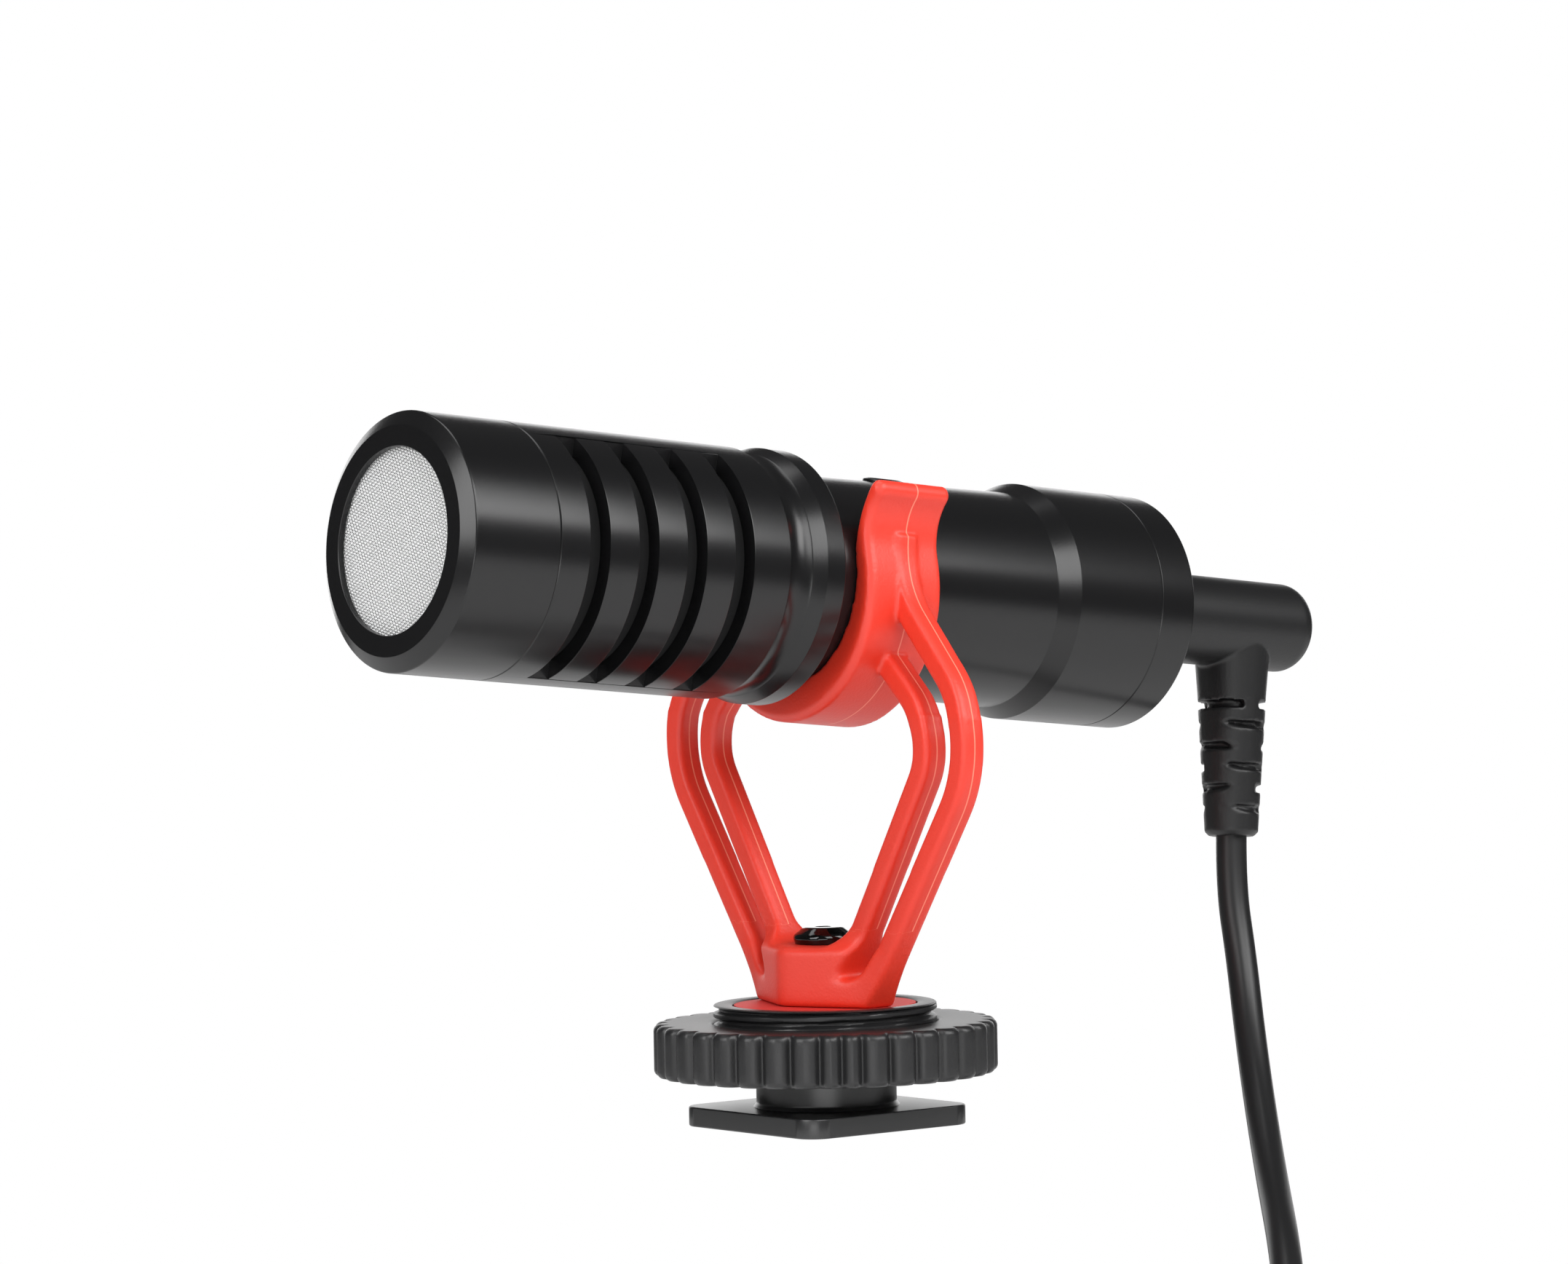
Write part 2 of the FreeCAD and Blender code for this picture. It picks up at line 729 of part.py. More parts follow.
lowOuter = Vector(0, endHalf, blockLow)
oneFlank = [Part.Arc(floorEnd, roundMiddle, riseEnd).toShape(), line(riseEnd, insideInner),
            line(insideInner, pocketInner), line(pocketInner, pocketOuter), line(pocketOuter, lowOuter)]
outlineEdges = oneFlank + [mirrored(edge) for edge in oneFlank]
outlineEdges += [line(flipped(floorEnd), floorEnd), line(lowOuter, flipped(lowOuter))]
blockFace = Part.Face(Part.Wire(Part.__sortEdges__(outlineEdges)))
reach = value("noseReach")
slab = blockFace.extrude(Vector(2 * reach, 0, 0))
slab.translate(Vector(-reach, 0, 0))
thinHalf = armWide / 2
endY = value("endReach")
noseFlat = value("noseFlat") - waist
noseFade = value("noseFade") - waist
over = value("overrun")


def crossSection(middleHalf):
    # the block seen from above: its half thickness in the middle, and the arms' own at both ends
    return [(middleHalf, 0), (thinHalf, endY), (-thinHalf, endY),
            (-middleHalf, 0), (-thinHalf, -endY), (thinHalf, -endY)]


lozenge, strait = crossSection(reach), crossSection(thinHalf)
lower = prism(lozenge, blockLow - over, noseFlat)
noses = [edge for edge in lower.Edges if upright(edge) and near(abs(edge.CenterOfMass.x), reach)]
lower = lower.makeFillet(value("noseRound"), noses)
fade = Part.makeLoft([
    Part.makePolygon([Vector(x, y, noseFlat) for x, y in lozenge + lozenge[:1]]),
    Part.makePolygon([Vector(x, y, noseFade) for x, y in strait + strait[:1]]),
], True, True)
thinSlab = Part.makeBox(armWide, 2 * endY, noseFade - blockLow, Vector(-thinHalf, -endY, blockLow))
envelope = lower.fuse(fade).fuse(thinSlab)
block = slab.common(envelope)
for side in (1, -1):
    block = block.cut(Part.makeCylinder(pocketRadius, big, Vector(-big / 2, side * pocketY, pocketRise),
                                        Vector(1, 0, 0)))
base = block.multiFuse([shape.common(halfSpace(False)) for shape in arms])
base = base.common(Part.makeBox(big, big, big, Vector(-big / 2, -big / 2, blockLow)))
base = base.cut(Part.makeCylinder(value("screwRadius + screwPlay"), big, Vector(0, 0, -big)))
# flat seat of the screw's head in the hollow floor
base = base.cut(Part.makeCylinder(value("screwHeadRadius + screwPlay"), big, Vector(0, 0, floor)))
base = base.removeSplitter()
newShape("shock_mount_base", base, Placement(Vector(0, 0, waist), Rotation()))

# Clip: an open ring that the body tube snaps into, with flared tips, as deep as it is wide
seatRadius = value("midFrontRadius")
tips = {name: Vector(0, share[0], share[1]) * seatRadius for name, share in clipTipShares.items()}
outCentre = Vector(0, 0, -value("clipDrop"))
outRadius = value("clipOuterRadius")
outTop = (tips["top"] - outCentre).normalize()
outTopPlace = outCentre + outTop * outRadius


def arcFrom(start, along, end):
    # the arc that leaves a place in a direction and ends at another place
    chord = end - start
    turn = math.atan2(along.y * chord.z - along.z * chord.y, along.dot(chord))
    middle = (start + end) * 0.5 - Vector(0, -chord.z, chord.y) * (math.tan(turn / 2) / 2)
    edge = Part.Arc(start, middle, end).toShape()
    return edge, edge.tangentAt(edge.LastParameter)


# each flank flares out from the ring, rounds its tip and comes back to the bore, without a kink
flank, along = arcFrom(outTopPlace, Vector(0, -outTop.z, outTop.y), tips["tipOut"])
tipRound, along = arcFrom(tips["tipOut"], along, tips["tipIn"])
inside, along = arcFrom(tips["tipIn"], along, tips["inTop"])
rightSide = [flank, tipRound, inside]
ringEdges = rightSide + [mirrored(edge) for edge in rightSide] + [
    Part.Arc(outTopPlace, outCentre - Vector(0, 0, outRadius), flipped(outTopPlace)).toShape(),
    line(flipped(tips["inTop"]), tips["inTop"]),
]
ringFace = Part.Face(Part.Wire(Part.__sortEdges__(ringEdges)))
clipWide = value("clipWide")
ring = ringFace.extrude(Vector(clipWide, 0, 0))
ringRims = []
for edge in ring.Edges:
    if near(edge.BoundBox.XLength, 0) and not near(edge.BoundBox.ZLength, 0):
        ringRims.append(edge)
ring = ring.makeChamfer(value("clipEdge"), ringRims)
ring.translate(Vector(value("clipMiddle") - clipWide / 2, 0, 0))
raised = []
for shape in arms:
    piece = shape.common(halfSpace(True))
    piece.translate(Vector(value("armPlaneAlong"), 0, waistInMic.z))
    raised.append(piece)
cradle = ring.multiFuse(raised)
# the clip closes on the tapered body tube
slopeShare = (value("midEndRadius") - value("midFrontRadius")) / (value("midEnd") - value("rimBack"))
clipStart = value("clipMiddle") - clipWide / 2 - over
seatStart = value("midFrontRadius") + (clipStart - value("rimBack")) * slopeShare + value("clipFit")
seatEnd = seatStart + (clipWide + 2 * over) * slopeShare
seat = Part.makeCone(seatStart, seatEnd, clipWide + 2 * over, Vector(clipStart, 0, 0), Vector(1, 0, 0))
cradle = cradle.cut(seat)
cradle = cradle.removeSplitter()
newShape("shock_mount_cradle", cradle, tilted)

# Microphone
frontCap = newBody("front_cap")
turned(frontCap, "Cap", [
    ("micFront", "apertureRadius"),
    ("micFront", "faceRadius"),
    ("micFront + capChamfer", "barrelRadius"),
    ("capSeam", "barrelRadius"),
    ("capSeam", "barrelBore - spigotPlay"),
    ("capSeam + capSpigot", "barrelBore - spigotPlay"),
    ("capSeam + capSpigot", "capBore"),
    ("micFront + lipThick", "capBore"),
    ("micFront + lipThick", "apertureRadius"),
])

mesh = newBody("front_mesh")
turned(mesh, "Mesh", [
    ("micFront + lipThick", "0"),
    ("micFront + lipThick", "capBore - meshPlay"),
    ("micFront + lipThick + meshThick", "capBore - meshPlay"),
    ("micFront + lipThick + meshThick", "0"),
])

foam = newBody("mesh_foam")
turned(foam, "Foam", [
    ("micFront + lipThick + meshThick", "0"),
    ("micFront + lipThick + meshThick", "capBore - meshPlay"),
    ("micFront + lipThick + meshThick + foamThick", "capBore - meshPlay"),
    ("micFront + lipThick + meshThick + foamThick", "0"),
])

# two halves meet along the spines and bands meet just behind each slot, so that each face has one slot in it
barrel = newBody("slotted_barrel")
bandEdges = ["slotFirst + %d * slotStep + slotWide + bandBack" % k for k in range(slotCount)]
halfTube = turned(barrel, "HalfTube", [
    ("capSeam", "barrelBore"),
    ("capSeam", "barrelRadius"),
] + [(along, "barrelRadius") for along in bandEdges] + [
    ("barrelEnd", "barrelRadius"),
    ("barrelEnd + neckTurn", "neckEdgeRadius", "neckCoveRadius", 1),
    ("crease", "neckEdgeRadius"),
    ("crease", "barrelBore"),
] + [(along, "barrelBore") for along in reversed(bandEdges)], plane="XZ_Plane", halfTurn=True)
otherHalf = barrel.newObject("PartDesign::Mirrored", "OtherHalf")
otherHalf.Originals = [halfTube]
otherHalf.MirrorPlane = (originPlane(barrel, "XZ_Plane"), [""])
barrel.Tip = otherHalf
doc.recompute()
sketch = emptySketch(barrel, "SlotOutline", "XY_Plane")
addRectangle(sketch, "slotFirst", "spineHalf", "slotFirst + slotWide", "barrelRadius + overrun")
addRectangle(sketch, "slotFirst", "-barrelRadius - overrun", "slotFirst + slotWide", "-spineHalf")
slots = padded(barrel, "Slots", sketch, "2 * (barrelRadius + overrun)", symmetric=True, kind="Pocket")
row = barrel.newObject("PartDesign::LinearPattern", "SlotRow")
row.Originals = [slots]
row.Direction = (originPlane(barrel, "X_Axis"), [""])
row.Mode = "Spacing"
row.setExpression("Offset", tied("slotStep"))
row.Occurrences = slotCount
barrel.Tip = row
for feature in (halfTube, otherHalf, slots, row):
    feature.Refine = False
doc.recompute()

liner = newBody("slot_liner")
turned(liner, "Liner", [
    ("capSeam + capSpigot + linerEndGap", "barrelBore - spigotPlay - linerThick"),
    ("capSeam + capSpigot + linerEndGap", "barrelBore - spigotPlay"),
    ("holderFront - linerEndGap", "barrelBore - spigotPlay"),
    ("holderFront - linerEndGap", "barrelBore - spigotPlay - linerThick"),
])

holder = newBody("capsule_holder")
turned(holder, "Cup", [
    ("holderFront", "capsuleRadius + capsuleFit"),
    ("holderFront", "barrelBore - spigotPlay"),
    ("spigotFront", "barrelBore - spigotPlay"),
    ("spigotFront", "holderRadius"),
    ("spigotFront + holderLong", "holderRadius"),
    ("spigotFront + holderLong", "capsuleRadius + capsuleFit"),
])

capsule = newBody("microphone_capsule")
turned(capsule, "Can", [
    ("holderFront + linerThick", "0"),
    ("holderFront + linerThick", "capsuleRadius"),
    ("holderFront + linerThick + capsuleLength", "capsuleRadius"),
    ("holderFront + linerThick + capsuleLength", "0"),
])

leads = doc.addObject("Part::Compound", "capsule_leads")
leads.Label = "capsule_leads"
wires = []
for sign, side in (("", "left"), ("-", "right")):
    wire = doc.addObject("Part::Cylinder", "Lead_" + side)
    wire.setExpression("Radius", tied("leadRadius"))
    wire.setExpression("Height", tied("boardFront - holderFront - linerThick - capsuleLength"))
    wire.Placement.Rotation = Rotation(Vector(0, 1, 0), 90)
    wire.setExpression("Placement.Base.x", tied("holderFront + linerThick + capsuleLength"))
    wire.setExpression("Placement.Base.y", tied(sign + "leadHalfGap"))
    wires.append(wire)
leads.Links = wires
nodes.append(leads)

tube = newBody("body_tube")
turned(tube, "Tube", [
    ("spigotFront", "tubeBore"),
    ("spigotFront", "barrelBore - spigotPlay"),
    ("crease", "barrelBore - spigotPlay"),
    ("crease", "neckEdgeRadius"),
    ("rimFront", "rimRadius"),
    ("rimBack", "rimRadius"),
    ("rimBack", "midFrontRadius"),
    ("midEnd", "midEndRadius"),
    ("rearStart", "rearRadius"),
    ("rearSeam", "rearRadius"),
    ("rearSeam", "tubeBore"),
])
sketch = emptySketch(tube, "TopHoleOutline", "XY_Plane", "boardThick / 2")
addCircle(sketch, "topScrewAlong", "0", "topScrewShank + tubePlay")
padded(tube, "TopHole", sketch, "rimRadius", reverse=True, kind="Pocket")
sketch = emptySketch(tube, "TopSeatOutline", "XY_Plane", "midFrontRadius + topScrewProud - topScrewSink")
addCircle(sketch, "topScrewAlong", "0", "topScrewRadius + tubePlay")
padded(tube, "TopSeat", sketch, "rimRadius", reverse=True, kind="Pocket")

topScrew = newBody("retaining_screw")
headTop = "midFrontRadius + topScrewBack / midLong * midSwell + topScrewProud"
sketch = emptySketch(topScrew, "HeadOutline", "XZ_Plane")
seat = "midFrontRadius + topScrewProud - topScrewSink"
addOutline(sketch, [
    ("0", "boardThick / 2"),
    ("topScrewShank", "boardThick / 2"),
    ("topScrewShank", seat),
    ("topScrewRadius", seat),
    ("topScrewRadius", headTop + " - topScrewProud / 2"),
    ("topScrewRadius - topScrewProud", headTop),
    ("0", headTop),
])
feature = topScrew.newObject("PartDesign::Revolution", "Head")
feature.Profile = sketch
feature.ReferenceAxis = (sketch, ["V_Axis"])
feature.Angle = 360
doc.recompute()

rearCap = newBody("rear_cap")
turned(rearCap, "Cap", [
    ("rearSeam - rearSpigot", "tubeBore - tubePlay - rearSpigotWall"),
    ("rearSeam - rearSpigot", "tubeBore - tubePlay"),
    ("rearSeam", "tubeBore - tubePlay"),
    ("rearSeam", "rearRadius"),
    ("rearEnd - rearEdge", "rearRadius"),
    ("rearEnd", "rearRadius - rearEdge"),
    ("rearEnd", "noseRadius + nosePlay"),
    ("socketBoxEnd", "noseRadius + nosePlay"),
    ("socketBoxEnd", "tubeBore - tubePlay - rearSpigotWall"),
])

board = doc.addObject("Part::Box", "circuit_board")
board.Label = "circuit_board"
board.setExpression("Length", tied("socketFront - boardFront"))
board.setExpression("Width", tied("2 * boardHalfWide"))
board.setExpression("Height", tied("boardThick"))
nodes.append(board)

socket = newBody("jack_socket")
sketch = emptySketch(socket, "BoxOutline", "YZ_Plane", "socketFront")
addRectangle(sketch, "-socketHalfWide", "-socketHalfHigh", "socketHalfWide", "socketHalfHigh")
padded(socket, "Box", sketch, "socketBoxEnd - socketFront")
sketch = emptySketch(socket, "NoseOutline", "YZ_Plane", "socketFront")
addCircle(sketch, "0", "0", "noseRadius")
padded(socket, "Nose", sketch, "rearEnd - socketFront")
sketch = emptySketch(socket, "BoreOutline", "YZ_Plane", "rearEnd")
addCircle(sketch, "0", "0", "pinRadius + jackFit")
padded(socket, "Bore", sketch, "jackDeep", kind="Pocket")

for piece in (frontCap, mesh, foam, barrel, liner, holder, capsule, leads, tube, rearCap, socket):
    piece.Placement = inMic
board.Placement = inMic.multiply(Placement(Vector(value("boardFront"), -value("boardHalfWide"),
                                                  -value("boardThick") / 2), Rotation()))
topScrew.Placement = inMic.multiply(Placement(Vector(value("topScrewAlong"), 0, 0), Rotation()))


# Plugs and lead
def plug(prefix, placement):
    # a right-angle 3.5 mm plug: moulded body with its slotted relief, and the contacts of the pin
    body = newBody(prefix + "plug_body")
    turned(body, "Barrel", [
        ("plugFace", "0"),
        ("plugFace", "plugRadius - plugFaceEdge"),
        ("plugFace + plugFaceEdge", "plugRadius"),
        ("plugEnd - plugRound", "plugRadius", "plugRound", -1),
        ("plugEnd", "plugRadius - plugRound"),
        ("plugEnd", "0"),
    ])
    sketch = emptySketch(body, "BranchProfile", "XZ_Plane")
    down = [("branchMiddle", "0"), ("branchMiddle + branchTopRadius", "0"),
            ("branchMiddle + branchEndRadius", "-branchEnd"),
            ("branchMiddle + reliefStartRadius", "-branchEnd"),
            ("branchMiddle + reliefEndRadius", "-reliefEnd + reliefEdge"),
            ("branchMiddle + reliefEndRadius - reliefEdge", "-reliefEnd"),
            ("branchMiddle", "-reliefEnd")]
    addOutline(sketch, down)
    branch = body.newObject("PartDesign::Revolution", "Branch")
    branch.Profile = sketch
    branch.ReferenceAxis = (sketch, ["Edge7"])
    branch.Angle = 360
    doc.recompute()
    # opposed slots round the relief, each level turned a quarter from the last
    for level in range(2 * reliefSlotRows):
        lift = "-reliefSlotFirst - %d * reliefSlotStep - reliefSlotHigh / 2" % level
        sketch = emptySketch(body, "Slot%dOutline" % level, "XY_Plane", lift)
        for side in (0, 180):
            turnBy = value("reliefWebDirAngle") + level * value("reliefTurnAngle") + side
            spread = value("reliefTurnAngle") - value("reliefWebAngle") / 2
            middle = turnBy + value("reliefTurnAngle")
            addSector(sketch, middle - spread, middle + spread)
        padded(body, "Slot%d" % level, sketch, "reliefSlotHigh", symmetric=False, reverse=True, kind="Pocket")
    body.Placement = placement
    names = {"sleeve": [("plugFace - sleeveLength", "0"), ("plugFace - sleeveLength", "pinRadius"),
                        ("plugFace", "pinRadius"), ("plugFace", "0")]}
    ringBack = "plugFace - sleeveLength - insulatorLength"
    ringFront = ringBack + " - ringLength"
    tipBack = ringFront + " - insulatorLength"
    names["ring"] = [(ringFront, "0"), (ringFront, "pinRadius"), (ringBack, "pinRadius"), (ringBack, "0")]
    names["tip"] = [
        ("plugFace - pinLength", "0"),
        ("plugFace - pinLength", "tipPointRadius"),
        ("plugFace - pinLength + tipConeLength", "pinRadius"),
        (tipBack + " - tipNeckLength", "tipNeckRadius"),
        (tipBack, "pinRadius"),
        (tipBack, "0"),
    ]
    for name, points in names.items():
        piece = newBody(prefix + "plug_" + name)
        turned(piece, "Contact", points)
        piece.Placement = placement
    gaps = newCompound(prefix + "plug_insulators", [ringBack, tipBack])
    gaps.Placement = placement


def addSector(sketch, fromAngle, toAngle):
    # a piece of a ring round the relief, from its core out past its skin
    centre = Vector(value("branchMiddle"), 0, 0)
    inner = value("reliefCoreRadius")
    outer = value("reliefStartRadius + overrun")
    a, b = math.radians(fromAngle), math.radians(toAngle)
    spots = [centre + Vector(math.cos(angle), math.sin(angle), 0) * radius
             for angle, radius in ((a, inner), (a, outer), (b, outer), (b, inner))]
    up = Vector(0, 0, 1)
    first = sketch.GeometryCount
    sketch.addGeometry(Part.LineSegment(spots[0], spots[1]))
    sketch.addGeometry(Part.ArcOfCircle(Part.Circle(centre, up, outer), a, b))
    sketch.addGeometry(Part.LineSegment(spots[2], spots[3]))
    sketch.addGeometry(Part.ArcOfCircle(Part.Circle(centre, up, inner), a, b))
    joins = [(first, 2, first + 1, 1), (first + 1, 2, first + 2, 1),
             (first + 2, 2, first + 3, 2), (first + 3, 1, first, 1)]
    for join in joins:
        sketch.addConstraint(Sketcher.Constraint("Coincident", *join))


def newCompound(name, backs):
    group = doc.addObject("Part::Compound", name)
    group.Label = name
    discs = []
    for back in backs:
        disc = doc.addObject("Part::Cylinder", name + "_disc")
        disc.setExpression("Radius", tied("pinRadius"))
        disc.setExpression("Height", tied("insulatorLength"))
        disc.Placement.Rotation = Rotation(Vector(0, 1, 0), 90)
        disc.setExpression("Placement.Base.x", tied(back))
        discs.append(disc)
    group.Links = discs
    nodes.append(group)
    return group


plug("", inPlug)

# Cable: a slack 2.9 mm lead. It leaves the relief straight, swings forward and down, and ends in a
# small coil that hangs from it.
cable = value("cableRadius")
reliefMouth = inPlug.multVec(Vector(value("branchMiddle"), 0, -value("reliefEnd")))
reliefAlong = inPlug.Rotation.multVec(Vector(0, 0, -1))
route = [reliefMouth, reliefMouth + reliefAlong * value("leadFirstRun")]
for letter in "BCDEFG":
    route.append(Vector(value("lead%sx" % letter), value("lead%sy" % letter), value("lead%sz" % letter)))


def tubeAlong(points):
    # straight runs joined by tangent arcs as large as the runs allow
    pieces = []
    radii = []
    at = points[0]
    for before, corner, after in zip(points, points[1:], points[2:]):
        inward, outward = corner - before, after - corner
        turn = inward.getAngle(outward)
        reach = bendShare * min(inward.Length, outward.Length)
        radius = reach / math.tan(turn / 2)
        start = corner - inward.normalize() * reach
        end = corner + outward.normalize() * reach
        across = ((start + end) * 0.5 - corner).normalize()
        middle = corner + across * (math.hypot(reach, radius) - radius)
        pieces.append(line(at, start))
        pieces.append(Part.Arc(start, middle, end).toShape())
        radii.append(radius)
        at = end
    pieces.append(line(at, points[-1]))
    path = Part.Wire(pieces)
    section = Part.Wire(Part.Circle(points[0], points[1] - points[0], cable).toShape())
    return path, section, radii


path, section, radii = tubeAlong(route)
tubeShape = path.makePipeShell([section], True, False)
print("cable radii", [round(radius, 1) for radius in radii], "length", round(path.Length, 2),
      "volume over section times length", round(tubeShape.Volume / (math.pi * cable ** 2 * path.Length), 4))
newShape("cable", tubeShape)

# Coil: two turns and an eighth in one layer, entered along the cable's own direction
inRun = (route[-1] - route[-2]).normalize()
forward = Vector(inRun.x, inRun.y, 0).normalize()
upward = Vector(0, 0, 1)
sideways = forward.cross(upward)
startAngle = math.atan2(forward.dot(inRun), -inRun.z)
coilRadius = value("coilRadius")
spacing = value("coilSpacing")
leadIn = value("coilLeadIn")
coilEntry = route[-1] + inRun * leadIn
coilCentre = coilEntry - (forward * math.cos(startAngle) + upward * math.sin(startAngle)) * coilRadius


def coilPlace(share):
    angle = startAngle - 2 * math.pi * share
    return coilCentre + (forward * math.cos(angle) + upward * math.sin(angle)) * coilRadius + sideways * (
        spacing * coilDrift(share))


def coilDrift(share):
    # no sideways speed at either end, so that the ends run straight on
    ease = coilEaseShare
    total = endShare
    if share < ease:
        return share ** 2 / (2 * ease)
    if share > total - ease:
        return total - ease - (total - share) ** 2 / (2 * ease)
    return share - ease / 2


def coilAlong(share):
    low, high = max(share - alongShare, 0), min(share + alongShare, endShare)
    return (coilPlace(high) - coilPlace(low)).normalize()


def biarc(start, along, end, endAlong):
    gap = end - start
    spread = along + endAlong
    a = 2 * (1 - along.dot(endAlong))
    b = 2 * gap.dot(spread)
    c = -gap.dot(gap)
    reach = (-b + math.sqrt(b * b - 4 * a * c)) / (2 * a)
    one, two = start + along * reach, end - endAlong * reach
    joint = (one + two) * 0.5
    return [arcOver(start, one, joint), arcOver(joint, two, end)]


def arcOver(start, corner, end):
    middle = (start + end) * 0.5
    tangent = corner.distanceToPoint(start)
    height = corner.distanceToPoint(middle)
    radius = tangent * start.distanceToPoint(middle) / height
    place = corner + (middle - corner).normalize() * (math.hypot(tangent, radius) - radius)
    return Part.Arc(start, place, end).toShape()


endShare = coilTurns + startAngle / (2 * math.pi)
coilEdges = [line(route[-1], coilEntry)]
for i in range(coilStretches):
    one, two = endShare * i / coilStretches, endShare * (i + 1) / coilStretches
    coilEdges += biarc(coilPlace(one), coilAlong(one), coilPlace(two), coilAlong(two))
tail = coilPlace(endShare)
tailAlong = coilAlong(endShare)
coilEnd = tail + tailAlong * value("coilTail")
coilEdges.append(line(tail, coilEnd))
coilPath = Part.Wire(coilEdges)
coilSection = Part.Wire(Part.Circle(route[-1], inRun, cable).toShape())
coilShape = coilPath.makePipeShell([coilSection], True, False)
samples = coilPath.discretize(Distance=value("coilStep"))
nextTo = int(value("coilNextTo / coilStep"))
closest = min(a.distanceToPoint(b) for i, a in enumerate(samples) for b in samples[i + nextTo:]) - 2 * cable
coilVolume = math.pi * cable ** 2 * coilPath.Length
print("coil turns", round(endShare, 3), "length", round(coilPath.Length, 1), "least gap", round(closest, 2),
      "volume over section times length", round(coilShape.Volume / coilVolume, 4))
newShape("cable_coil", coilShape)

# Tie round the two turns at the top of the coil
tieShare = startAngle / (2 * math.pi) + tieTurnShare
wraps = [coilPlace(tieShare), coilPlace(tieShare + 1)]
tieAngle = startAngle - 2 * math.pi * tieShare
outward = forward * math.cos(tieAngle) + upward * math.sin(tieAngle)
tieAlong = outward.cross(sideways)
clear = cable + value("tiePlay")
lowSide = min(place.dot(sideways) for place in wraps)
highSide = max(place.dot(sideways) for place in wraps)
middle = (wraps[0] + wraps[-1]) * 0.5


def stadium(radius):
    one = middle + sideways * ((lowSide - highSide) / 2)
    two = middle + sideways * ((highSide - lowSide) / 2)
    faceEdges = [Part.Arc(one + outward * radius, one - sideways * radius, one - outward * radius).toShape(),
                 Part.LineSegment(one - outward * radius, two - outward * radius).toShape(),
                 Part.Arc(two - outward * radius, two + sideways * radius, two + outward * radius).toShape(),
                 Part.LineSegment(two + outward * radius, one + outward * radius).toShape()]
    solid = Part.Face(Part.Wire(faceEdges)).extrude(tieAlong * value("tieWide"))
    solid.translate(tieAlong * (-value("tieWide") / 2))
    return solid


newShape("cord_tie", stadium(clear + value("tieThick")).cut(stadium(clear)))

# The far plug hangs from the tail, its pin under the coil
# the plug's own axes: -x is the way the pin points, -z is the way the lead leaves
plugZ = tailAlong
plugX = (forward - plugZ * forward.dot(plugZ)).normalize()
farPlace = Placement(Vector(0, 0, 0), Rotation(plugX, plugZ.cross(plugX), plugZ, "ZXY"))
farExit = farPlace.multVec(Vector(value("branchMiddle"), 0, -value("reliefEnd")))
farPlace.Base = coilEnd - farExit
plug("far_", farPlace)

# Checks and files
doc.recompute()
for thing in doc.Objects:
    bad = [state for state in thing.State if state in ("Invalid", "Error")]
    if bad:
        raise RuntimeError("%s is %s" % (thing.Label, bad))
os.makedirs("parts", exist_ok=True)
for piece in nodes:
    shape = piece.Shape
    if shape.isNull() or not shape.isValid() or not shape.Solids:
        raise RuntimeError("%s has no valid solid" % piece.Label)
    shape.exportStep("parts/%s.step" % piece.Label)
    print(piece.Label, len(shape.Solids), round(shape.Volume, 1))
print(len(nodes), "pieces")
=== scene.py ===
import bpy
import bmesh
import math
import numpy as np
from mathutils import Matrix, Vector


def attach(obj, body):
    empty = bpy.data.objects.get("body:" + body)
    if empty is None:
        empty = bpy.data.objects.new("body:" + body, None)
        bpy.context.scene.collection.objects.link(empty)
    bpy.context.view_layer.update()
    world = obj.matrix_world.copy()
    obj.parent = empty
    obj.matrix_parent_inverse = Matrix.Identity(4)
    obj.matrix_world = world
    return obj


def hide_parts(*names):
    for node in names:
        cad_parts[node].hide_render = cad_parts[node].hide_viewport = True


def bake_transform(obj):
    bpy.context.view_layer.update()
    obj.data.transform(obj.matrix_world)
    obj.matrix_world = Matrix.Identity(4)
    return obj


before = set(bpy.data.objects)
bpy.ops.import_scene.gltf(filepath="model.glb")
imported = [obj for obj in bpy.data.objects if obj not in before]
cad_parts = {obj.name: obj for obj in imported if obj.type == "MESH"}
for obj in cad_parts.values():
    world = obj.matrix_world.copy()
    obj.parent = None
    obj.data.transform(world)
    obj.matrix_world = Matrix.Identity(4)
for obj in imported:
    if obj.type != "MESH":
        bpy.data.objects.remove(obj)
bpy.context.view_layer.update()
mm = 0.001
# how near, in mm, vertices lie that become one, or that a cutting plane takes as its own
near = {"same": 0.00001, "plane": 0.0001, "spun": 0.0005, "cut": 0.002}

# Where things sit, in mm and degrees. Places along the microphone are measured
# rearward from this point on its axis.
micAxis = {"x": -2.462, "z": 48.056, "pitch": 5.53, "roll": 5.15, "plugRoll": -4.2}
micPitch = Matrix.Translation((micAxis["x"] * mm, 0, micAxis["z"] * mm)) @ Matrix.Rotation(
    math.radians(micAxis["pitch"]), 4, "Y")
inMic = micPitch @ Matrix.Rotation(math.radians(micAxis["roll"]), 4, "X")
inPlug = micPitch @ Matrix.Rotation(math.radians(micAxis["plugRoll"]), 4, "X")


def linked(name, data):
    # a new object for the data, in the scene at the origin
    item = bpy.data.objects.new(name, data)
    bpy.context.scene.collection.objects.link(item)
    return item


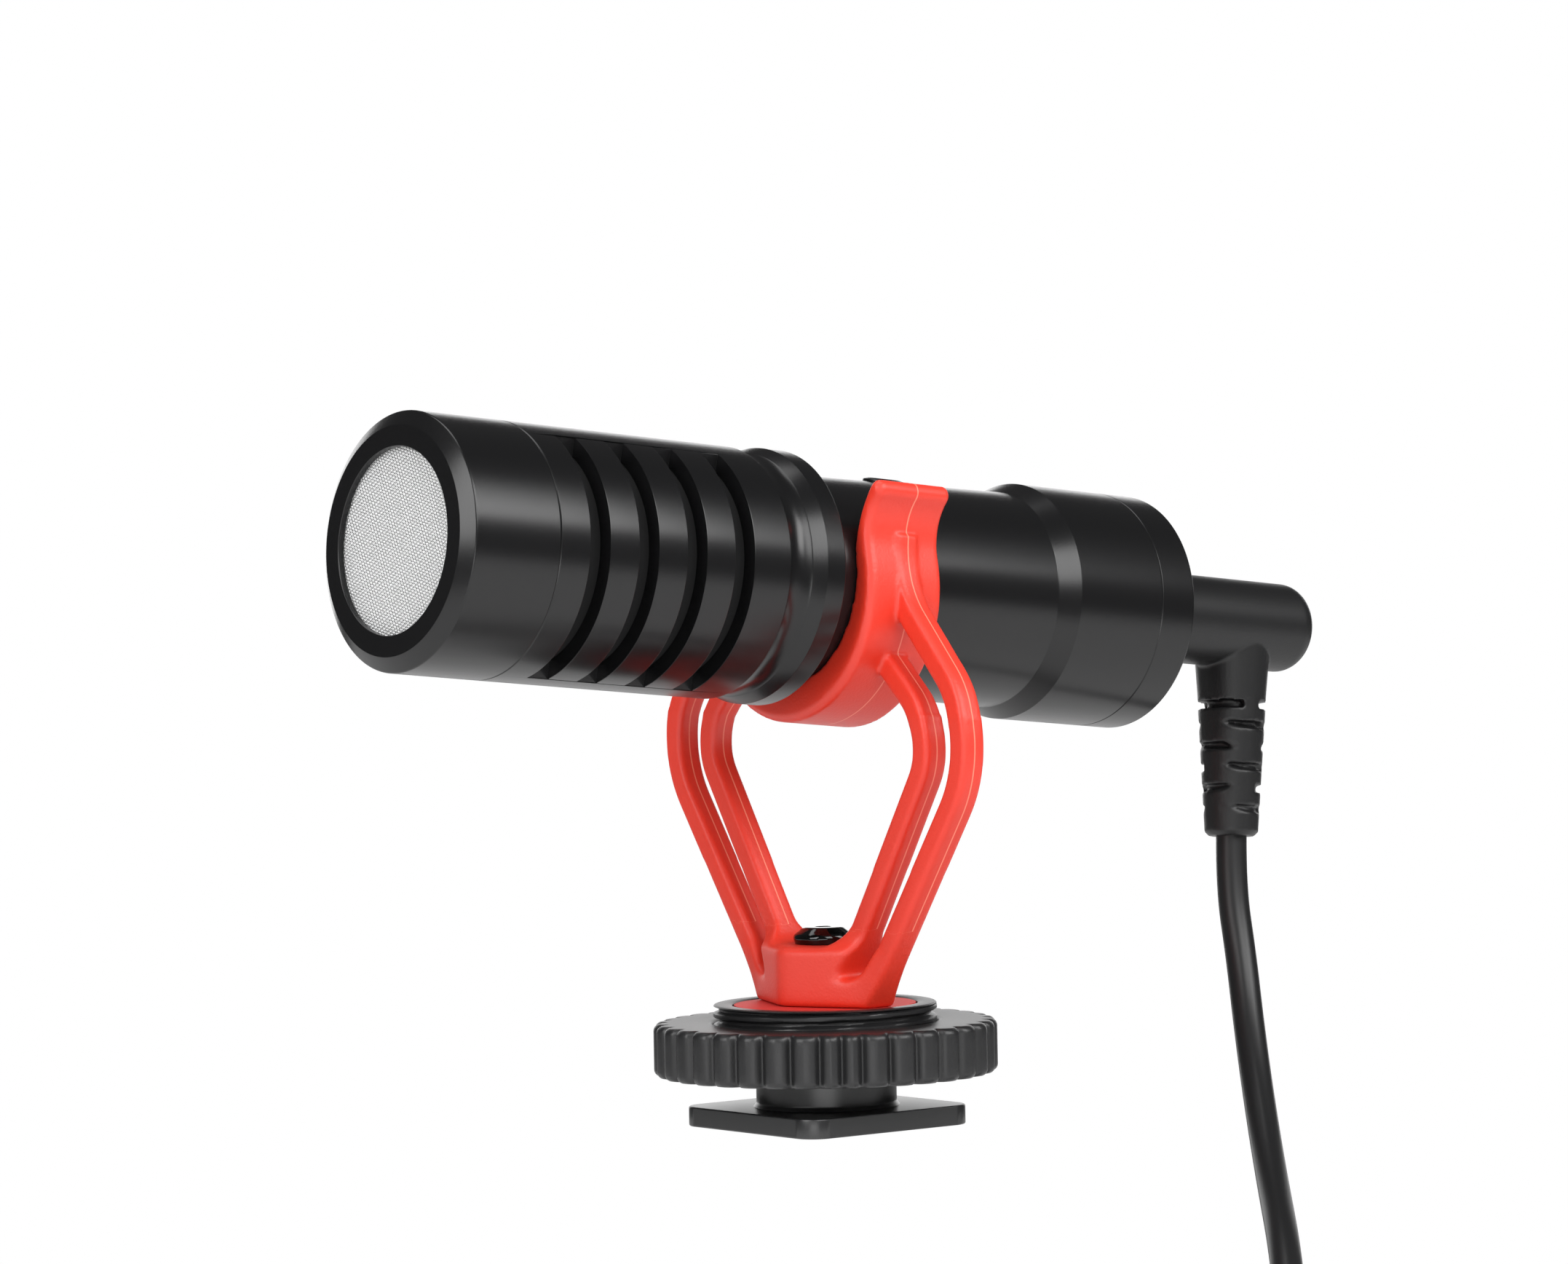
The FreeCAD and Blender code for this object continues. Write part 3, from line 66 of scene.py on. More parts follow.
# Camera
cameraPlace = {"x": -305.78, "y": -378.78, "z": 52.12, "turnX": 88.989, "turnY": 1.062, "turnZ": -38.579,
               "lens": 126.81, "sensor": 36, "clipStart": 0.01, "clipEnd": 50}
cameraData = bpy.data.cameras.new("camera")
cameraData.lens = cameraPlace["lens"]
cameraData.sensor_width = cameraPlace["sensor"]
cameraData.sensor_fit = "HORIZONTAL"
cameraData.clip_start = cameraPlace["clipStart"]
cameraData.clip_end = cameraPlace["clipEnd"]
camera = linked("camera", cameraData)
camera.location = [cameraPlace[axis] * mm for axis in "xyz"]
camera.rotation_euler = [math.radians(cameraPlace["turn" + axis]) for axis in "XYZ"]
bpy.context.scene.camera = camera
bpy.context.scene.view_settings.view_transform = "Standard"
print("camera placed")


def linear(colour):
    channels = [int(colour[i:i + 2], 16) / 255 for i in (1, 3, 5)]
    return [c / 12.92 if c <= 0.04045 else ((c + 0.055) / 1.055) ** 2.4 for c in channels] + [1]


# the mould's parting line: half its full width and where it has faded out, in mm, and how strongly it tints
partingLine = {"core": 0.02, "edge": 0.1, "strength": 0.6}


def newMaterial(name, settings):
    material = bpy.data.materials.new(name)
    material.use_nodes = True
    tree = material.node_tree
    shader = tree.nodes["Principled BSDF"]
    shader.inputs["Base Color"].default_value = linear(settings["colour"])
    shader.inputs["Roughness"].default_value = settings["roughness"]
    shader.inputs["Metallic"].default_value = settings.get("metallic", 0)
    shader.inputs["Specular IOR Level"].default_value = settings.get("shine", 0.5)
    if settings.get("soft"):
        shader.inputs["Subsurface Weight"].default_value = settings["soft"]
        shader.inputs["Subsurface Radius"].default_value = settings["softReach"]
        shader.inputs["Subsurface Scale"].default_value = mm
    if settings.get("grain"):
        place = tree.nodes.new("ShaderNodeTexCoord")
        grain = tree.nodes.new("ShaderNodeTexNoise")
        grain.inputs["Scale"].default_value = 1 / (settings["grainSize"] * mm)
        grain.inputs["Detail"].default_value = 2
        bump = tree.nodes.new("ShaderNodeBump")
        bump.inputs["Strength"].default_value = 1
        bump.inputs["Distance"].default_value = settings["grain"] * mm
        tree.links.new(place.outputs["Object"], grain.inputs["Vector"])
        tree.links.new(grain.outputs["Fac"], bump.inputs["Height"])
        tree.links.new(bump.outputs["Normal"], shader.inputs["Normal"])
    if settings.get("parting"):
        # a fine flash line where the two halves of the mould met
        side = tree.nodes.new("ShaderNodeAttribute")
        side.attribute_name = "parting"
        away = tree.nodes.new("ShaderNodeMath")
        away.operation = "ABSOLUTE"
        line = tree.nodes.new("ShaderNodeMapRange")
        line.inputs["From Min"].default_value = partingLine["edge"]
        line.inputs["From Max"].default_value = partingLine["core"]
        line.inputs["To Max"].default_value = partingLine["strength"]
        tint = tree.nodes.new("ShaderNodeMix")
        tint.data_type = "RGBA"
        tint.inputs["A"].default_value = linear(settings["colour"])
        tint.inputs["B"].default_value = linear(settings["parting"])
        tree.links.new(side.outputs["Fac"], away.inputs[0])
        tree.links.new(away.outputs[0], line.inputs["Value"])
        tree.links.new(line.outputs["Result"], tint.inputs["Factor"])
        tree.links.new(tint.outputs["Result"], shader.inputs["Base Color"])
    return material


# colour is sRGB, grain is the bump's height and grainSize its spacing, both in mm
finishes = {
    "anodisedAluminium": {"colour": "#0d0d0e", "roughness": 0.26, "grain": 0.0035, "grainSize": 0.13},
    "mouldedPlastic": {"colour": "#19191a", "roughness": 0.4, "shine": 0.6,
                       "grain": 0.014, "grainSize": 0.17},
    "smoothPlastic": {"colour": "#141415", "roughness": 0.33, "shine": 0.85,
                      "grain": 0.0015, "grainSize": 0.25},
    "glossSteel": {"colour": "#040404", "roughness": 0.1, "grain": 0.002, "grainSize": 0.5},
    "redElastomer": {"colour": "#d22f1b", "roughness": 0.44, "shine": 0.6, "soft": 0.15,
                     "softReach": (1.4, 0.4, 0.25), "grain": 0.02, "grainSize": 0.22, "parting": "#f59a80"},
    "mattElastomer": {"colour": "#c42c26", "roughness": 0.6, "shine": 0.3, "grain": 0.012, "grainSize": 0.2},
    "wovenSteel": {"colour": "#f2f2f2", "roughness": 0.35, "metallic": 0.6},
    "softRubber": {"colour": "#121213", "roughness": 0.42, "grain": 0.01, "grainSize": 0.2},
    "cableJacket": {"colour": "#161617", "roughness": 0.38, "grain": 0.001, "grainSize": 0.3},
    "openFoam": {"colour": "#0c0c0d", "roughness": 0.95},
    "blackCloth": {"colour": "#060607", "roughness": 0.98},
    "nickelPlate": {"colour": "#cfccc6", "roughness": 0.2, "metallic": 1},
    "bareAluminium": {"colour": "#b8b9bc", "roughness": 0.35, "metallic": 1},
    "boardGreen": {"colour": "#1e5a34", "roughness": 0.4},
}
materials = {name: newMaterial(name, settings) for name, settings in finishes.items()}
print("materials made")


def addPiece(name, mesh, material, body, replaced=()):
    piece = linked(name, mesh)
    mesh.materials.clear()
    mesh.materials.append(materials[material])
    if replaced:
        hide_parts(*replaced)
    if body:
        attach(piece, body)
    return piece


def softFaced(mesh):
    # every face shades smoothly into the next
    for polygon in mesh.polygons:
        polygon.use_smooth = True
    return mesh


def smoothed(mesh, angle=30):
    softFaced(mesh).set_sharp_from_angle(angle=math.radians(angle))
    return mesh


def crisp(piece):
    # large faces keep their own shading, and narrow roundings take up the turn
    weighted = piece.modifiers.new("weighted", "WEIGHTED_NORMAL")
    weighted.mode = "FACE_AREA"
    weighted.weight = 100
    weighted.keep_sharp = True
    return piece


def meshFrom(build, name):
    mesh = bpy.data.meshes.new(name)
    bmesh.ops.recalc_face_normals(build, faces=build.faces)
    build.to_mesh(mesh)
    build.free()
    return mesh


def roundedOutline(points, steps=6):
    # corners given as (along, out, radius) become arcs, the rest stay sharp
    outline = []
    count = len(points)
    for i, point in enumerate(points):
        here = Vector(point[:2])
        radius = point[2] if len(point) > 2 else 0
        if not radius:
            outline.append(here)
            continue
        before = (Vector(points[i - 1][:2]) - here).normalized()
        after = (Vector(points[(i + 1) % count][:2]) - here).normalized()
        half = before.angle(after) / 2
        reach = radius / math.tan(half)
        middle = here + (before + after).normalized() * (radius / math.sin(half))
        start, end = here + before * reach, here + after * reach
        sweep = (start - middle).angle_signed(end - middle)
        for k in range(steps + 1):
            turn = Matrix.Rotation(-sweep * k / steps, 2)
            outline.append(middle + turn @ (start - middle))
    return outline


def spunShape(name, points, steps=256, place=inMic, axis="X"):
    # a closed outline of (along the axis, out from it) spun once round the axis
    build = bmesh.new()
    verts = []
    for along, out in roundedOutline(points):
        spot = (along * mm, 0, out * mm) if axis == "X" else (out * mm, 0, along * mm)
        verts.append(build.verts.new(spot))
    edges = [build.edges.new((verts[i], verts[(i + 1) % len(verts)])) for i in range(len(verts))]
    spinAxis = (1, 0, 0) if axis == "X" else (0, 0, 1)
    bmesh.ops.spin(build, geom=verts + edges, axis=spinAxis, cent=(0, 0, 0), angle=2 * math.pi, steps=steps,
                   use_merge=True)
    bmesh.ops.remove_doubles(build, verts=build.verts, dist=near["spun"] * mm)
    if place:
        bmesh.ops.transform(build, matrix=place, verts=build.verts)
    return meshFrom(build, name)


# Front cap: lip round the mesh, chamfer, and a hairline gap before the barrel
frontCap = {"front": -43.02, "face": 9.71, "chamferEnd": -42.21, "radius": 11.0, "aperture": 7.9,
            "lip": 0.6, "bore": 8.7, "seam": -33.64, "seamGap": 0.05, "seamDeep": 0.25, "spigot": 9.48,
            "spigotEnd": -31.64, "lipRound": 0.1, "faceRound": 0.12, "chamferRound": 0.25,
            "seamRound": 0.05}
capMesh = spunShape("frontCapShell", [
    (frontCap["front"], frontCap["aperture"], frontCap["lipRound"]),
    (frontCap["front"], frontCap["face"], frontCap["faceRound"]),
    (frontCap["chamferEnd"], frontCap["radius"], frontCap["chamferRound"]),
    (frontCap["seam"] - frontCap["seamGap"], frontCap["radius"], frontCap["seamRound"]),
    (frontCap["seam"] - frontCap["seamGap"], frontCap["radius"] - frontCap["seamDeep"]),
    (frontCap["seam"], frontCap["spigot"]),
    (frontCap["spigotEnd"], frontCap["spigot"]),
    (frontCap["spigotEnd"], frontCap["bore"]),
    (frontCap["front"] + frontCap["lip"], frontCap["bore"]),
    (frontCap["front"] + frontCap["lip"], frontCap["aperture"], frontCap["lipRound"]),
])
crisp(addPiece("frontCapShell", smoothed(capMesh), "anodisedAluminium", "microphone",
               ["front_cap"]))
print("front cap made")

# Woven mesh behind the lip: plain weave of crimped wires
weave = {"pitch": 0.2456, "wire": 0.062, "radius": 8.45, "turn": 8.5, "along": -42.27, "samples": 4,
         "sides": 4, "fewest": 4}


def wovenWires(name, across):
    build = bmesh.new()
    pitch, wire, radius = weave["pitch"], weave["wire"], weave["radius"]
    turn = Matrix.Rotation(math.radians(weave["turn"] + (90 if across else 0)), 4, "X")
    rows = int(radius / pitch)
    for row in range(-rows, rows + 1):
        offset = row * pitch
        half = math.sqrt(radius ** 2 - offset ** 2)
        first = math.ceil(-half / pitch * weave["samples"])
        last = math.floor(half / pitch * weave["samples"])
        if last - first < weave["fewest"]:
            continue
        before = None
        for k in range(first, last + 1):
            run = k * pitch / weave["samples"]
            sign = 1 if (row % 2 == 0) != across else -1
            lift = sign * wire * math.cos(math.pi * run / pitch)
            ring = []
            for side in range(weave["sides"]):
                angle = 2 * math.pi * (side + 0.5) / weave["sides"]
                ring.append(build.verts.new(((weave["along"] + lift + wire * math.cos(angle)) * mm,
                                             run * mm, (offset + wire * math.sin(angle)) * mm)))
            if before:
                for side in range(weave["sides"]):
                    after = (side + 1) % weave["sides"]
                    build.faces.new((before[side], before[after], ring[after], ring[side]))
            before = ring
    bmesh.ops.transform(build, matrix=inMic @ turn, verts=build.verts)
    return softFaced(meshFrom(build, name))


weftMesh = wovenWires("meshWeft", False)
addPiece("meshWeft", weftMesh, "wovenSteel", "microphone", ["front_mesh"])
warpMesh = wovenWires("meshWarp", True)
addPiece("meshWarp", warpMesh, "wovenSteel", "microphone")
print("mesh woven", len(weftMesh.polygons), len(warpMesh.polygons))

# Slotted barrel with its turned neck
barrel = {"bore": 9.5, "radius": 11.0, "edge": 0.12, "edgeRound": 0.06, "end": -9.3, "endRound": 0.05,
          "wallEnd": -9.22, "neckStart": -9.1, "neckFloor": 10.58, "cove": 2.6, "coveEnd": -6.66,
          "crease": -6.6, "neckCrest": 10.63, "slotFirst": -30.57, "slotWide": 2.05, "slotPitch": 5.1,
          "slots": 4, "spine": 4.04, "slotEdge": 0.07, "cutOver": 1, "cutHalf": 12}
# an edge is a slot's when it lies this near the row, this far out from the bore and turns by this much
slotTest = {"along": 0.01, "out": 0.3, "turn": 0.6}


def coveOutline(start, end, out, radius, steps=10):
    # a hollow arc between two places at the same distance out
    half = (end - start) / 2
    centreOut = out + math.sqrt(radius ** 2 - half ** 2)
    spread = math.asin(half / radius)
    return [((start + end) / 2 + radius * math.sin(spread * (2 * k / steps - 1)),
             centreOut - radius * math.cos(spread * (2 * k / steps - 1))) for k in range(steps + 1)]


barrelPoints = [
    (frontCap["seam"], barrel["bore"]),
    (frontCap["seam"], barrel["radius"] - barrel["edge"]),
    (frontCap["seam"] + barrel["edge"], barrel["radius"], barrel["edgeRound"]),
    (barrel["end"], barrel["radius"], barrel["endRound"]),
    (barrel["wallEnd"], barrel["neckFloor"]),
] + coveOutline(barrel["neckStart"], barrel["coveEnd"], barrel["neckFloor"], barrel["cove"]) + [
    (barrel["crease"], barrel["neckCrest"]),
    (barrel["crease"], barrel["bore"]),
]
barrelMesh = spunShape("slottedBarrelShell", barrelPoints, steps=288, place=None)


def applied(mesh, name, prepare):
    # the mesh with the modifiers that prepare adds, as a new mesh
    holder = linked(name, mesh)
    prepare(holder)
    graph = bpy.context.evaluated_depsgraph_get()
    result = bpy.data.meshes.new_from_object(holder.evaluated_get(graph), depsgraph=graph)
    bpy.data.objects.remove(holder)
    result.name = name
    return result


def cutAway(mesh, name, cutter):
    # the mesh without what the cutter's mesh fills
    cutterObject = linked(name + "Cutter", cutter)

    def addCut(holder):
        cut = holder.modifiers.new("cut", "BOOLEAN")
        cut.operation = "DIFFERENCE"
        cut.solver = "EXACT"
        cut.object = cutterObject

    result = applied(mesh, name, addCut)
    bpy.data.objects.remove(cutterObject)
    return result


def addBox(build, low, high):
    centre = (Vector(low) + Vector(high)) / 2
    size = Vector(high) - Vector(low)
    place = Matrix.Translation(centre * mm) @ Matrix.Diagonal((size.x * mm, size.y * mm, size.z * mm, 1))
    bmesh.ops.create_cube(build, size=1, matrix=place)


cutters = bmesh.new()
for k in range(barrel["slots"]):
    start = barrel["slotFirst"] + k * barrel["slotPitch"]
    for side in (1, -1):
        low, high = sorted((side * barrel["spine"], side * (barrel["radius"] + barrel["cutOver"])))
        addBox(cutters, (start, low, -barrel["cutHalf"]),
               (start + barrel["slotWide"], high, barrel["cutHalf"]))
barrelMesh = cutAway(barrelMesh, "slottedBarrelShell", meshFrom(cutters, "slotCutters"))
build = bmesh.new()
build.from_mesh(barrelMesh)
bmesh.ops.remove_doubles(build, verts=build.verts, dist=near["cut"] * mm)
slotEnd = barrel["slotFirst"] + (barrel["slots"] - 1) * barrel["slotPitch"] + barrel["slotWide"]
sharp = []
for edge in build.edges:
    if len(edge.link_faces) != 2:
        continue
    at = (edge.verts[0].co + edge.verts[1].co) / 2 / mm
    inRow = barrel["slotFirst"] - slotTest["along"] <= at.x <= slotEnd + slotTest["along"]
    outside = math.hypot(at.y, at.z) > barrel["bore"] + slotTest["out"]
    if inRow and outside and edge.calc_face_angle() > slotTest["turn"]:
        sharp.append(edge)
bmesh.ops.bevel(build, geom=sharp, offset=barrel["slotEdge"] * mm, offset_type="OFFSET", segments=2,
                profile=0.5, affect="EDGES", material=-1, clamp_overlap=True)
bmesh.ops.transform(build, matrix=inMic, verts=build.verts)
barrelMesh = meshFrom(build, "slottedBarrelShell")
crisp(addPiece("slottedBarrelShell", smoothed(barrelMesh, 28), "anodisedAluminium", "microphone",
               ["slotted_barrel"]))
print("barrel made", len(barrelMesh.polygons))

# Body tube, rear cap and the domed screw on top
tube = {"spigotFront": -10.6, "bore": 8.2, "rim": 11.2, "rimFront": -5.4, "rimBack": -3.38,
        "midFront": 9.13, "midEnd": 22.3, "midEndRadius": 9.75, "rear": 10.67, "rearStart": 24.24,
        "seam": 34.0, "spigot": 9.48, "creaseRound": 0.03, "rimFrontRound": 0.1, "rimBackRound": 0.12,
        "rootStep": 0.05, "rootRound": 0.15, "midRound": 0.3, "rearRound": 0.15, "seamGap": 0.04,
        "seamDeep": 0.3, "seamRound": 0.05}
tubeMesh = spunShape("bodyTubeShell", [
    (tube["spigotFront"], tube["bore"]),
    (tube["spigotFront"], tube["spigot"]),
    (barrel["crease"], tube["spigot"]),
    (barrel["crease"], barrel["neckCrest"], tube["creaseRound"]),
    (tube["rimFront"], tube["rim"], tube["rimFrontRound"]),
    (tube["rimBack"], tube["rim"], tube["rimBackRound"]),
    (tube["rimBack"] + tube["rootStep"], tube["midFront"] + tube["rootStep"], tube["rootRound"]),
    (tube["midEnd"], tube["midEndRadius"], tube["midRound"]),
    (tube["rearStart"], tube["rear"], tube["rearRound"]),
    (tube["seam"] - tube["seamGap"], tube["rear"], tube["seamRound"]),
    (tube["seam"] - tube["seamGap"], tube["rear"] - tube["seamDeep"]),
    (tube["seam"] - tube["seamGap"], tube["bore"]),
])
crisp(addPiece("bodyTubeShell", smoothed(tubeMesh), "anodisedAluminium", "microphone",
               ["body_tube"]))

rearCap = {"spigotFront": 31.5, "spigotBore": 6.76, "spigot": 8.16, "edge": 0.1, "edgeRound": 0.06,
           "end": 37.98, "endRound": 0.3, "flare": 3.55, "flareRound": 0.1, "mouth": 3.35,
           "mouthRound": 0.05, "mouthDeep": 0.3, "bore": 3.05, "floor": 34.6}
rearMesh = spunShape("rearCapShell", [
    (rearCap["spigotFront"], rearCap["spigotBore"]),
    (rearCap["spigotFront"], rearCap["spigot"]),
    (tube["seam"], rearCap["spigot"]),
    (tube["seam"], tube["rear"] - rearCap["edge"]),
    (tube["seam"] + rearCap["edge"], tube["rear"], rearCap["edgeRound"]),
    (rearCap["end"], tube["rear"], rearCap["endRound"]),
    (rearCap["end"], rearCap["flare"], rearCap["flareRound"]),
    (rearCap["end"] - rearCap["mouthDeep"], rearCap["mouth"], rearCap["mouthRound"]),
    (rearCap["end"] - rearCap["mouthDeep"], rearCap["bore"]),
    (rearCap["floor"], rearCap["bore"]),
    (rearCap["floor"], rearCap["spigotBore"]),
])
crisp(addPiece("rearCapShell", smoothed(rearMesh), "anodisedAluminium", "microphone",
               ["rear_cap"]))

dome = {"along": 8.7, "radius": 1.9, "base": 8.9, "side": 9.61, "sideRound": 0.12, "top": 9.76,
        "crown": 1.4, "crownRound": 0.4}
domeMesh = spunShape("domeScrew", [
    (dome["base"], 0),
    (dome["base"], dome["radius"]),
    (dome["side"], dome["radius"], dome["sideRound"]),
    (dome["top"], dome["crown"], dome["crownRound"]),
    (dome["top"], 0),
], steps=64, place=inMic @ Matrix.Translation((dome["along"] * mm, 0, 0)), axis="Z")
addPiece("domeScrew", smoothed(domeMesh), "anodisedAluminium", "microphone",
         ["retaining_screw"])
print("body made")


# Soft moulded pieces: the solids' own forms, run together and eased at their edges
def moulded(name, nodeNames, voxel, rounds, prepare=None, more=()):
    build = bmesh.new()
    for nodeName in nodeNames:
        part = bmesh.new()
        part.from_mesh(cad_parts[nodeName].data)
        if prepare:
            prepare(part, nodeName)
        copy = bpy.data.meshes.new("copy")
        part.to_mesh(copy)
        part.free()
        build.from_mesh(copy)
        bpy.data.meshes.remove(copy)
    for mesh in more:
        build.from_mesh(mesh)
    bmesh.ops.remove_doubles(build, verts=build.verts, dist=near["same"] * mm)
    mesh = meshFrom(build, name)

    def ease(holder):
        voxels = holder.modifiers.new("voxels", "REMESH")
        voxels.mode = "VOXEL"
        voxels.voxel_size = voxel * mm
        voxels.use_smooth_shade = True
        soften = holder.modifiers.new("soften", "SMOOTH")
        soften.factor = 0.5
        soften.iterations = rounds

    return softFaced(applied(mesh, name, ease))


lyre = {"waist": 36.0, "waistNear": 0.02, "overlap": 0.3, "voxel": 0.2, "rounds": 3,
        "partingAlong": 3.612, "partingLow": 17.5, "blockTop": 24.5, "cut": 23.0}
# the block is a wedge in plan, its arms lean outward, and each lean is mm of y for a mm of z
block = {"cell": 0.22, "boxX": 5.7, "boxY": 18.0, "boxLow": 10.2, "boxHigh": 25.0, "low": 10.72,
         "floor": 16.0, "pocket": 13.2, "wedgeTop": 15.6, "wedgeFade": 0.85, "nose": 5.25, "flankY": 7.7,
         "flankX": 1.7, "noseRound": 0.6, "armHalf": 1.25, "innerY": 7.04, "innerZ": 19.0,
         "innerLean": 0.61, "outerY": 9.19, "outerZ": 15.0, "outerLean": 0.68, "bandHalf": 1.05,
         "valleyRound": 1.0, "pocketRound": 1.1, "edgeRound": 0.55, "sideRound": 0.8}
waistPlace = Vector((0, 0, lyre["waist"] * mm))
waistNormal = Matrix.Rotation(math.radians(micAxis["pitch"] / 2), 3, "Y") @ Vector((0, 0, 1))


def softLeast(a, b, reach):
    # the lesser of two distances, with a fillet where they cross
    share = np.clip(0.5 + 0.5 * (b - a) / reach, 0, 1)
    return b + (a - b) * share - reach * share * (1 - share)


def softMost(a, b, reach):
    return -softLeast(-a, -b, reach)


def blockField(x, y, z):
    # distance in mm to the block's surface, less than zero inside
    reachX, reachY = block["flankX"] - block["nose"], block["flankY"]
    long = math.hypot(reachX, reachY)
    across = np.sqrt(y ** 2 + block["noseRound"] ** 2)
    flank = (reachY * (np.abs(x) - block["nose"]) - reachX * across) / long
    flank = flank + np.maximum(z - block["wedgeTop"], 0) * block["wedgeFade"]
    side = softLeast(flank, np.abs(x) - block["armHalf"], block["sideRound"])
    out = np.abs(y)
    inner = out - block["innerY"] - block["innerLean"] * (z - block["innerZ"])
    outer = out - block["outerY"] - block["outerLean"] * (z - block["outerZ"])
    innerBand = np.abs(inner) / math.hypot(1, block["innerLean"]) - block["bandHalf"]
    outerBand = np.abs(outer) / math.hypot(1, block["outerLean"]) - block["bandHalf"]
    heart = np.maximum(z - block["floor"], inner / math.hypot(1, block["innerLean"]))
    heart = softLeast(heart, innerBand, block["valleyRound"])
    foot = np.maximum(z - block["pocket"], outer / math.hypot(1, block["outerLean"]))
    limb = softLeast(foot, outerBand, block["pocketRound"])
    profile = softLeast(heart, limb, block["pocketRound"])
    profile = np.maximum(profile, np.maximum(block["low"] - z, z - lyre["blockTop"]))
    return softMost(side, profile, block["edgeRound"])


def surfaceOf(field, low, high, cell, name):
    # one vertex in each cell that the surface crosses, one face round each crossed edge
    axes = [np.arange(low[i], high[i] + cell, cell) for i in range(3)]
    values = field(*np.meshgrid(*axes, indexing="ij"))
    cells = [n - 1 for n in values.shape]
    total, hits = np.zeros(cells + [3]), np.zeros(cells)
    grid = np.stack(np.meshgrid(*[np.arange(n) for n in values.shape], indexing="ij"), axis=-1).astype(float)
    crossings = []
    for axis in range(3):
        first, second = np.moveaxis(values, axis, 0)[:-1], np.moveaxis(values, axis, 0)[1:]
        crossed = (first < 0) != (second < 0)
        share = np.where(crossed, first / np.where(crossed, first - second, 1), 0)
        place = np.moveaxis(grid, axis, 0)[:-1].copy()
        place[..., axis] += share
        place *= crossed[..., None]
        crossings.append((axis, crossed))
        sumView = np.moveaxis(total, axis, 0)
        hitView = np.moveaxis(hits, axis, 0)
        for du in (0, 1):
            for dv in (0, 1):
                view = place[:, du:place.shape[1] - 1 + du, dv:place.shape[2] - 1 + dv]
                sumView += view
                hitView += crossed[:, du:place.shape[1] - 1 + du, dv:place.shape[2] - 1 + dv]
    used = hits > 0
    number = np.full(cells, -1)
    number[used] = np.arange(used.sum())
    points = (total[used] / hits[used][:, None] * cell + np.array([a[0] for a in axes])) * mm
    faces = []
    for axis, crossed in crossings:
        view = np.moveaxis(number, axis, 0)
        for along, u, v in np.argwhere(crossed[:, 1:-1, 1:-1]):
            quad = [int(view[along, u, v]), int(view[along, u + 1, v]), int(view[along, u + 1, v + 1]),
                    int(view[along, u, v + 1])]
            faces.append(quad)
    draft = bpy.data.meshes.new("draft")
    draft.from_pydata(points.tolist(), [], faces)
    build = bmesh.new()
    build.from_mesh(draft)
    bpy.data.meshes.remove(draft)
    return meshFrom(build, name)


def readyLyre(part, nodeName):
    # the lower half gives way to the eased block, and reaches a little into the upper one
    if nodeName != "shock_mount_base":
        return
    for vert in part.verts:
        if abs((vert.co - waistPlace).dot(waistNormal)) < lyre["waistNear"] * mm:
            vert.co += waistNormal * lyre["overlap"] * mm
    bmesh.ops.bisect_plane(part, geom=part.verts[:] + part.edges[:] + part.faces[:], dist=near["plane"] * mm,
                           plane_co=(0, 0, lyre["cut"] * mm), plane_no=(0, 0, 1), clear_inner=True)
    bmesh.ops.remove_doubles(part, verts=part.verts, dist=near["spun"] * mm)
    bmesh.ops.holes_fill(part, edges=[edge for edge in part.edges if edge.is_boundary])


blockMesh = surfaceOf(blockField, (-block["boxX"], -block["boxY"], block["boxLow"]),
                      (block["boxX"], block["boxY"], block["boxHigh"]), block["cell"], "block")
print("block shaped", len(blockMesh.polygons))
lyreMesh = moulded("lyreMount", ["shock_mount_base", "shock_mount_cradle"], lyre["voxel"], lyre["rounds"],
                   readyLyre, [blockMesh])
backToMic = micPitch.inverted()
parting = lyreMesh.attributes.new("parting", "FLOAT", "POINT")
for i, vert in enumerate(lyreMesh.vertices):
    if vert.co.z < lyre["waist"] * mm:
        parting.data[i].value = vert.co.x / mm if vert.co.z > lyre["partingLow"] * mm else 1
    else:
        parting.data[i].value = (backToMic @ vert.co).x / mm - lyre["partingAlong"]
lyreMount = addPiece("lyreMount", lyreMesh, "redElastomer", None,
                     ["shock_mount_base", "shock_mount_cradle"])
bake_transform(lyreMount)
print("lyre made", len(lyreMesh.polygons))

# Shoe foot: plate with rounded corners, neck, and the threaded boss
foot = {"side": 18.6, "corner": 2.16, "cornerSteps": 12, "thick": 1.75, "edge": 0.14, "neck": 6.2,
        "flare": 0.35, "flareRound": 0.3, "neckTop": 5.0, "sunk": 0.1}
# the boss is a stack of rings: its thread fades into the rim over the last stretch below the top
boss = {"around": 192, "levels": 64, "radius": 9.88, "top": 10.8, "threadEnd": 10.58, "threadPitch": 1.0,
        "threadDeep": 0.5, "crestShare": 0.25, "flankShare": 0.6, "fade": 0.3, "lip": 8.15}
# rim and pad seat: the ring's radius, its step out from there and its drop below the top
bossRim = [("radius", -0.03, 0.12), ("radius", -0.12, 0.03), ("radius", -0.25, 0), ("radius", -0.9, 0),
           ("lip", 0.25, 0.02), ("lip", 0.05, 0.12), ("lip", 0, 0.3), ("lip", 0, 1.2)]
build = bmesh.new()
half, corner = foot["side"] / 2, foot["corner"]
outline = []
for quarter in range(4):
    start = math.pi / 2 * quarter
    centreX = (half - corner) * (1 if quarter in (0, 3) else -1)
    centreY = (half - corner) * (1 if quarter in (0, 1) else -1)
    for k in range(foot["cornerSteps"] + 1):
        angle = start + math.pi / 2 * k / foot["cornerSteps"]
        outline.append((centreX + corner * math.cos(angle), centreY + corner * math.sin(angle)))
bottom = build.faces.new([build.verts.new((x * mm, y * mm, 0)) for x, y in outline])
raised = bmesh.ops.extrude_face_region(build, geom=[bottom])
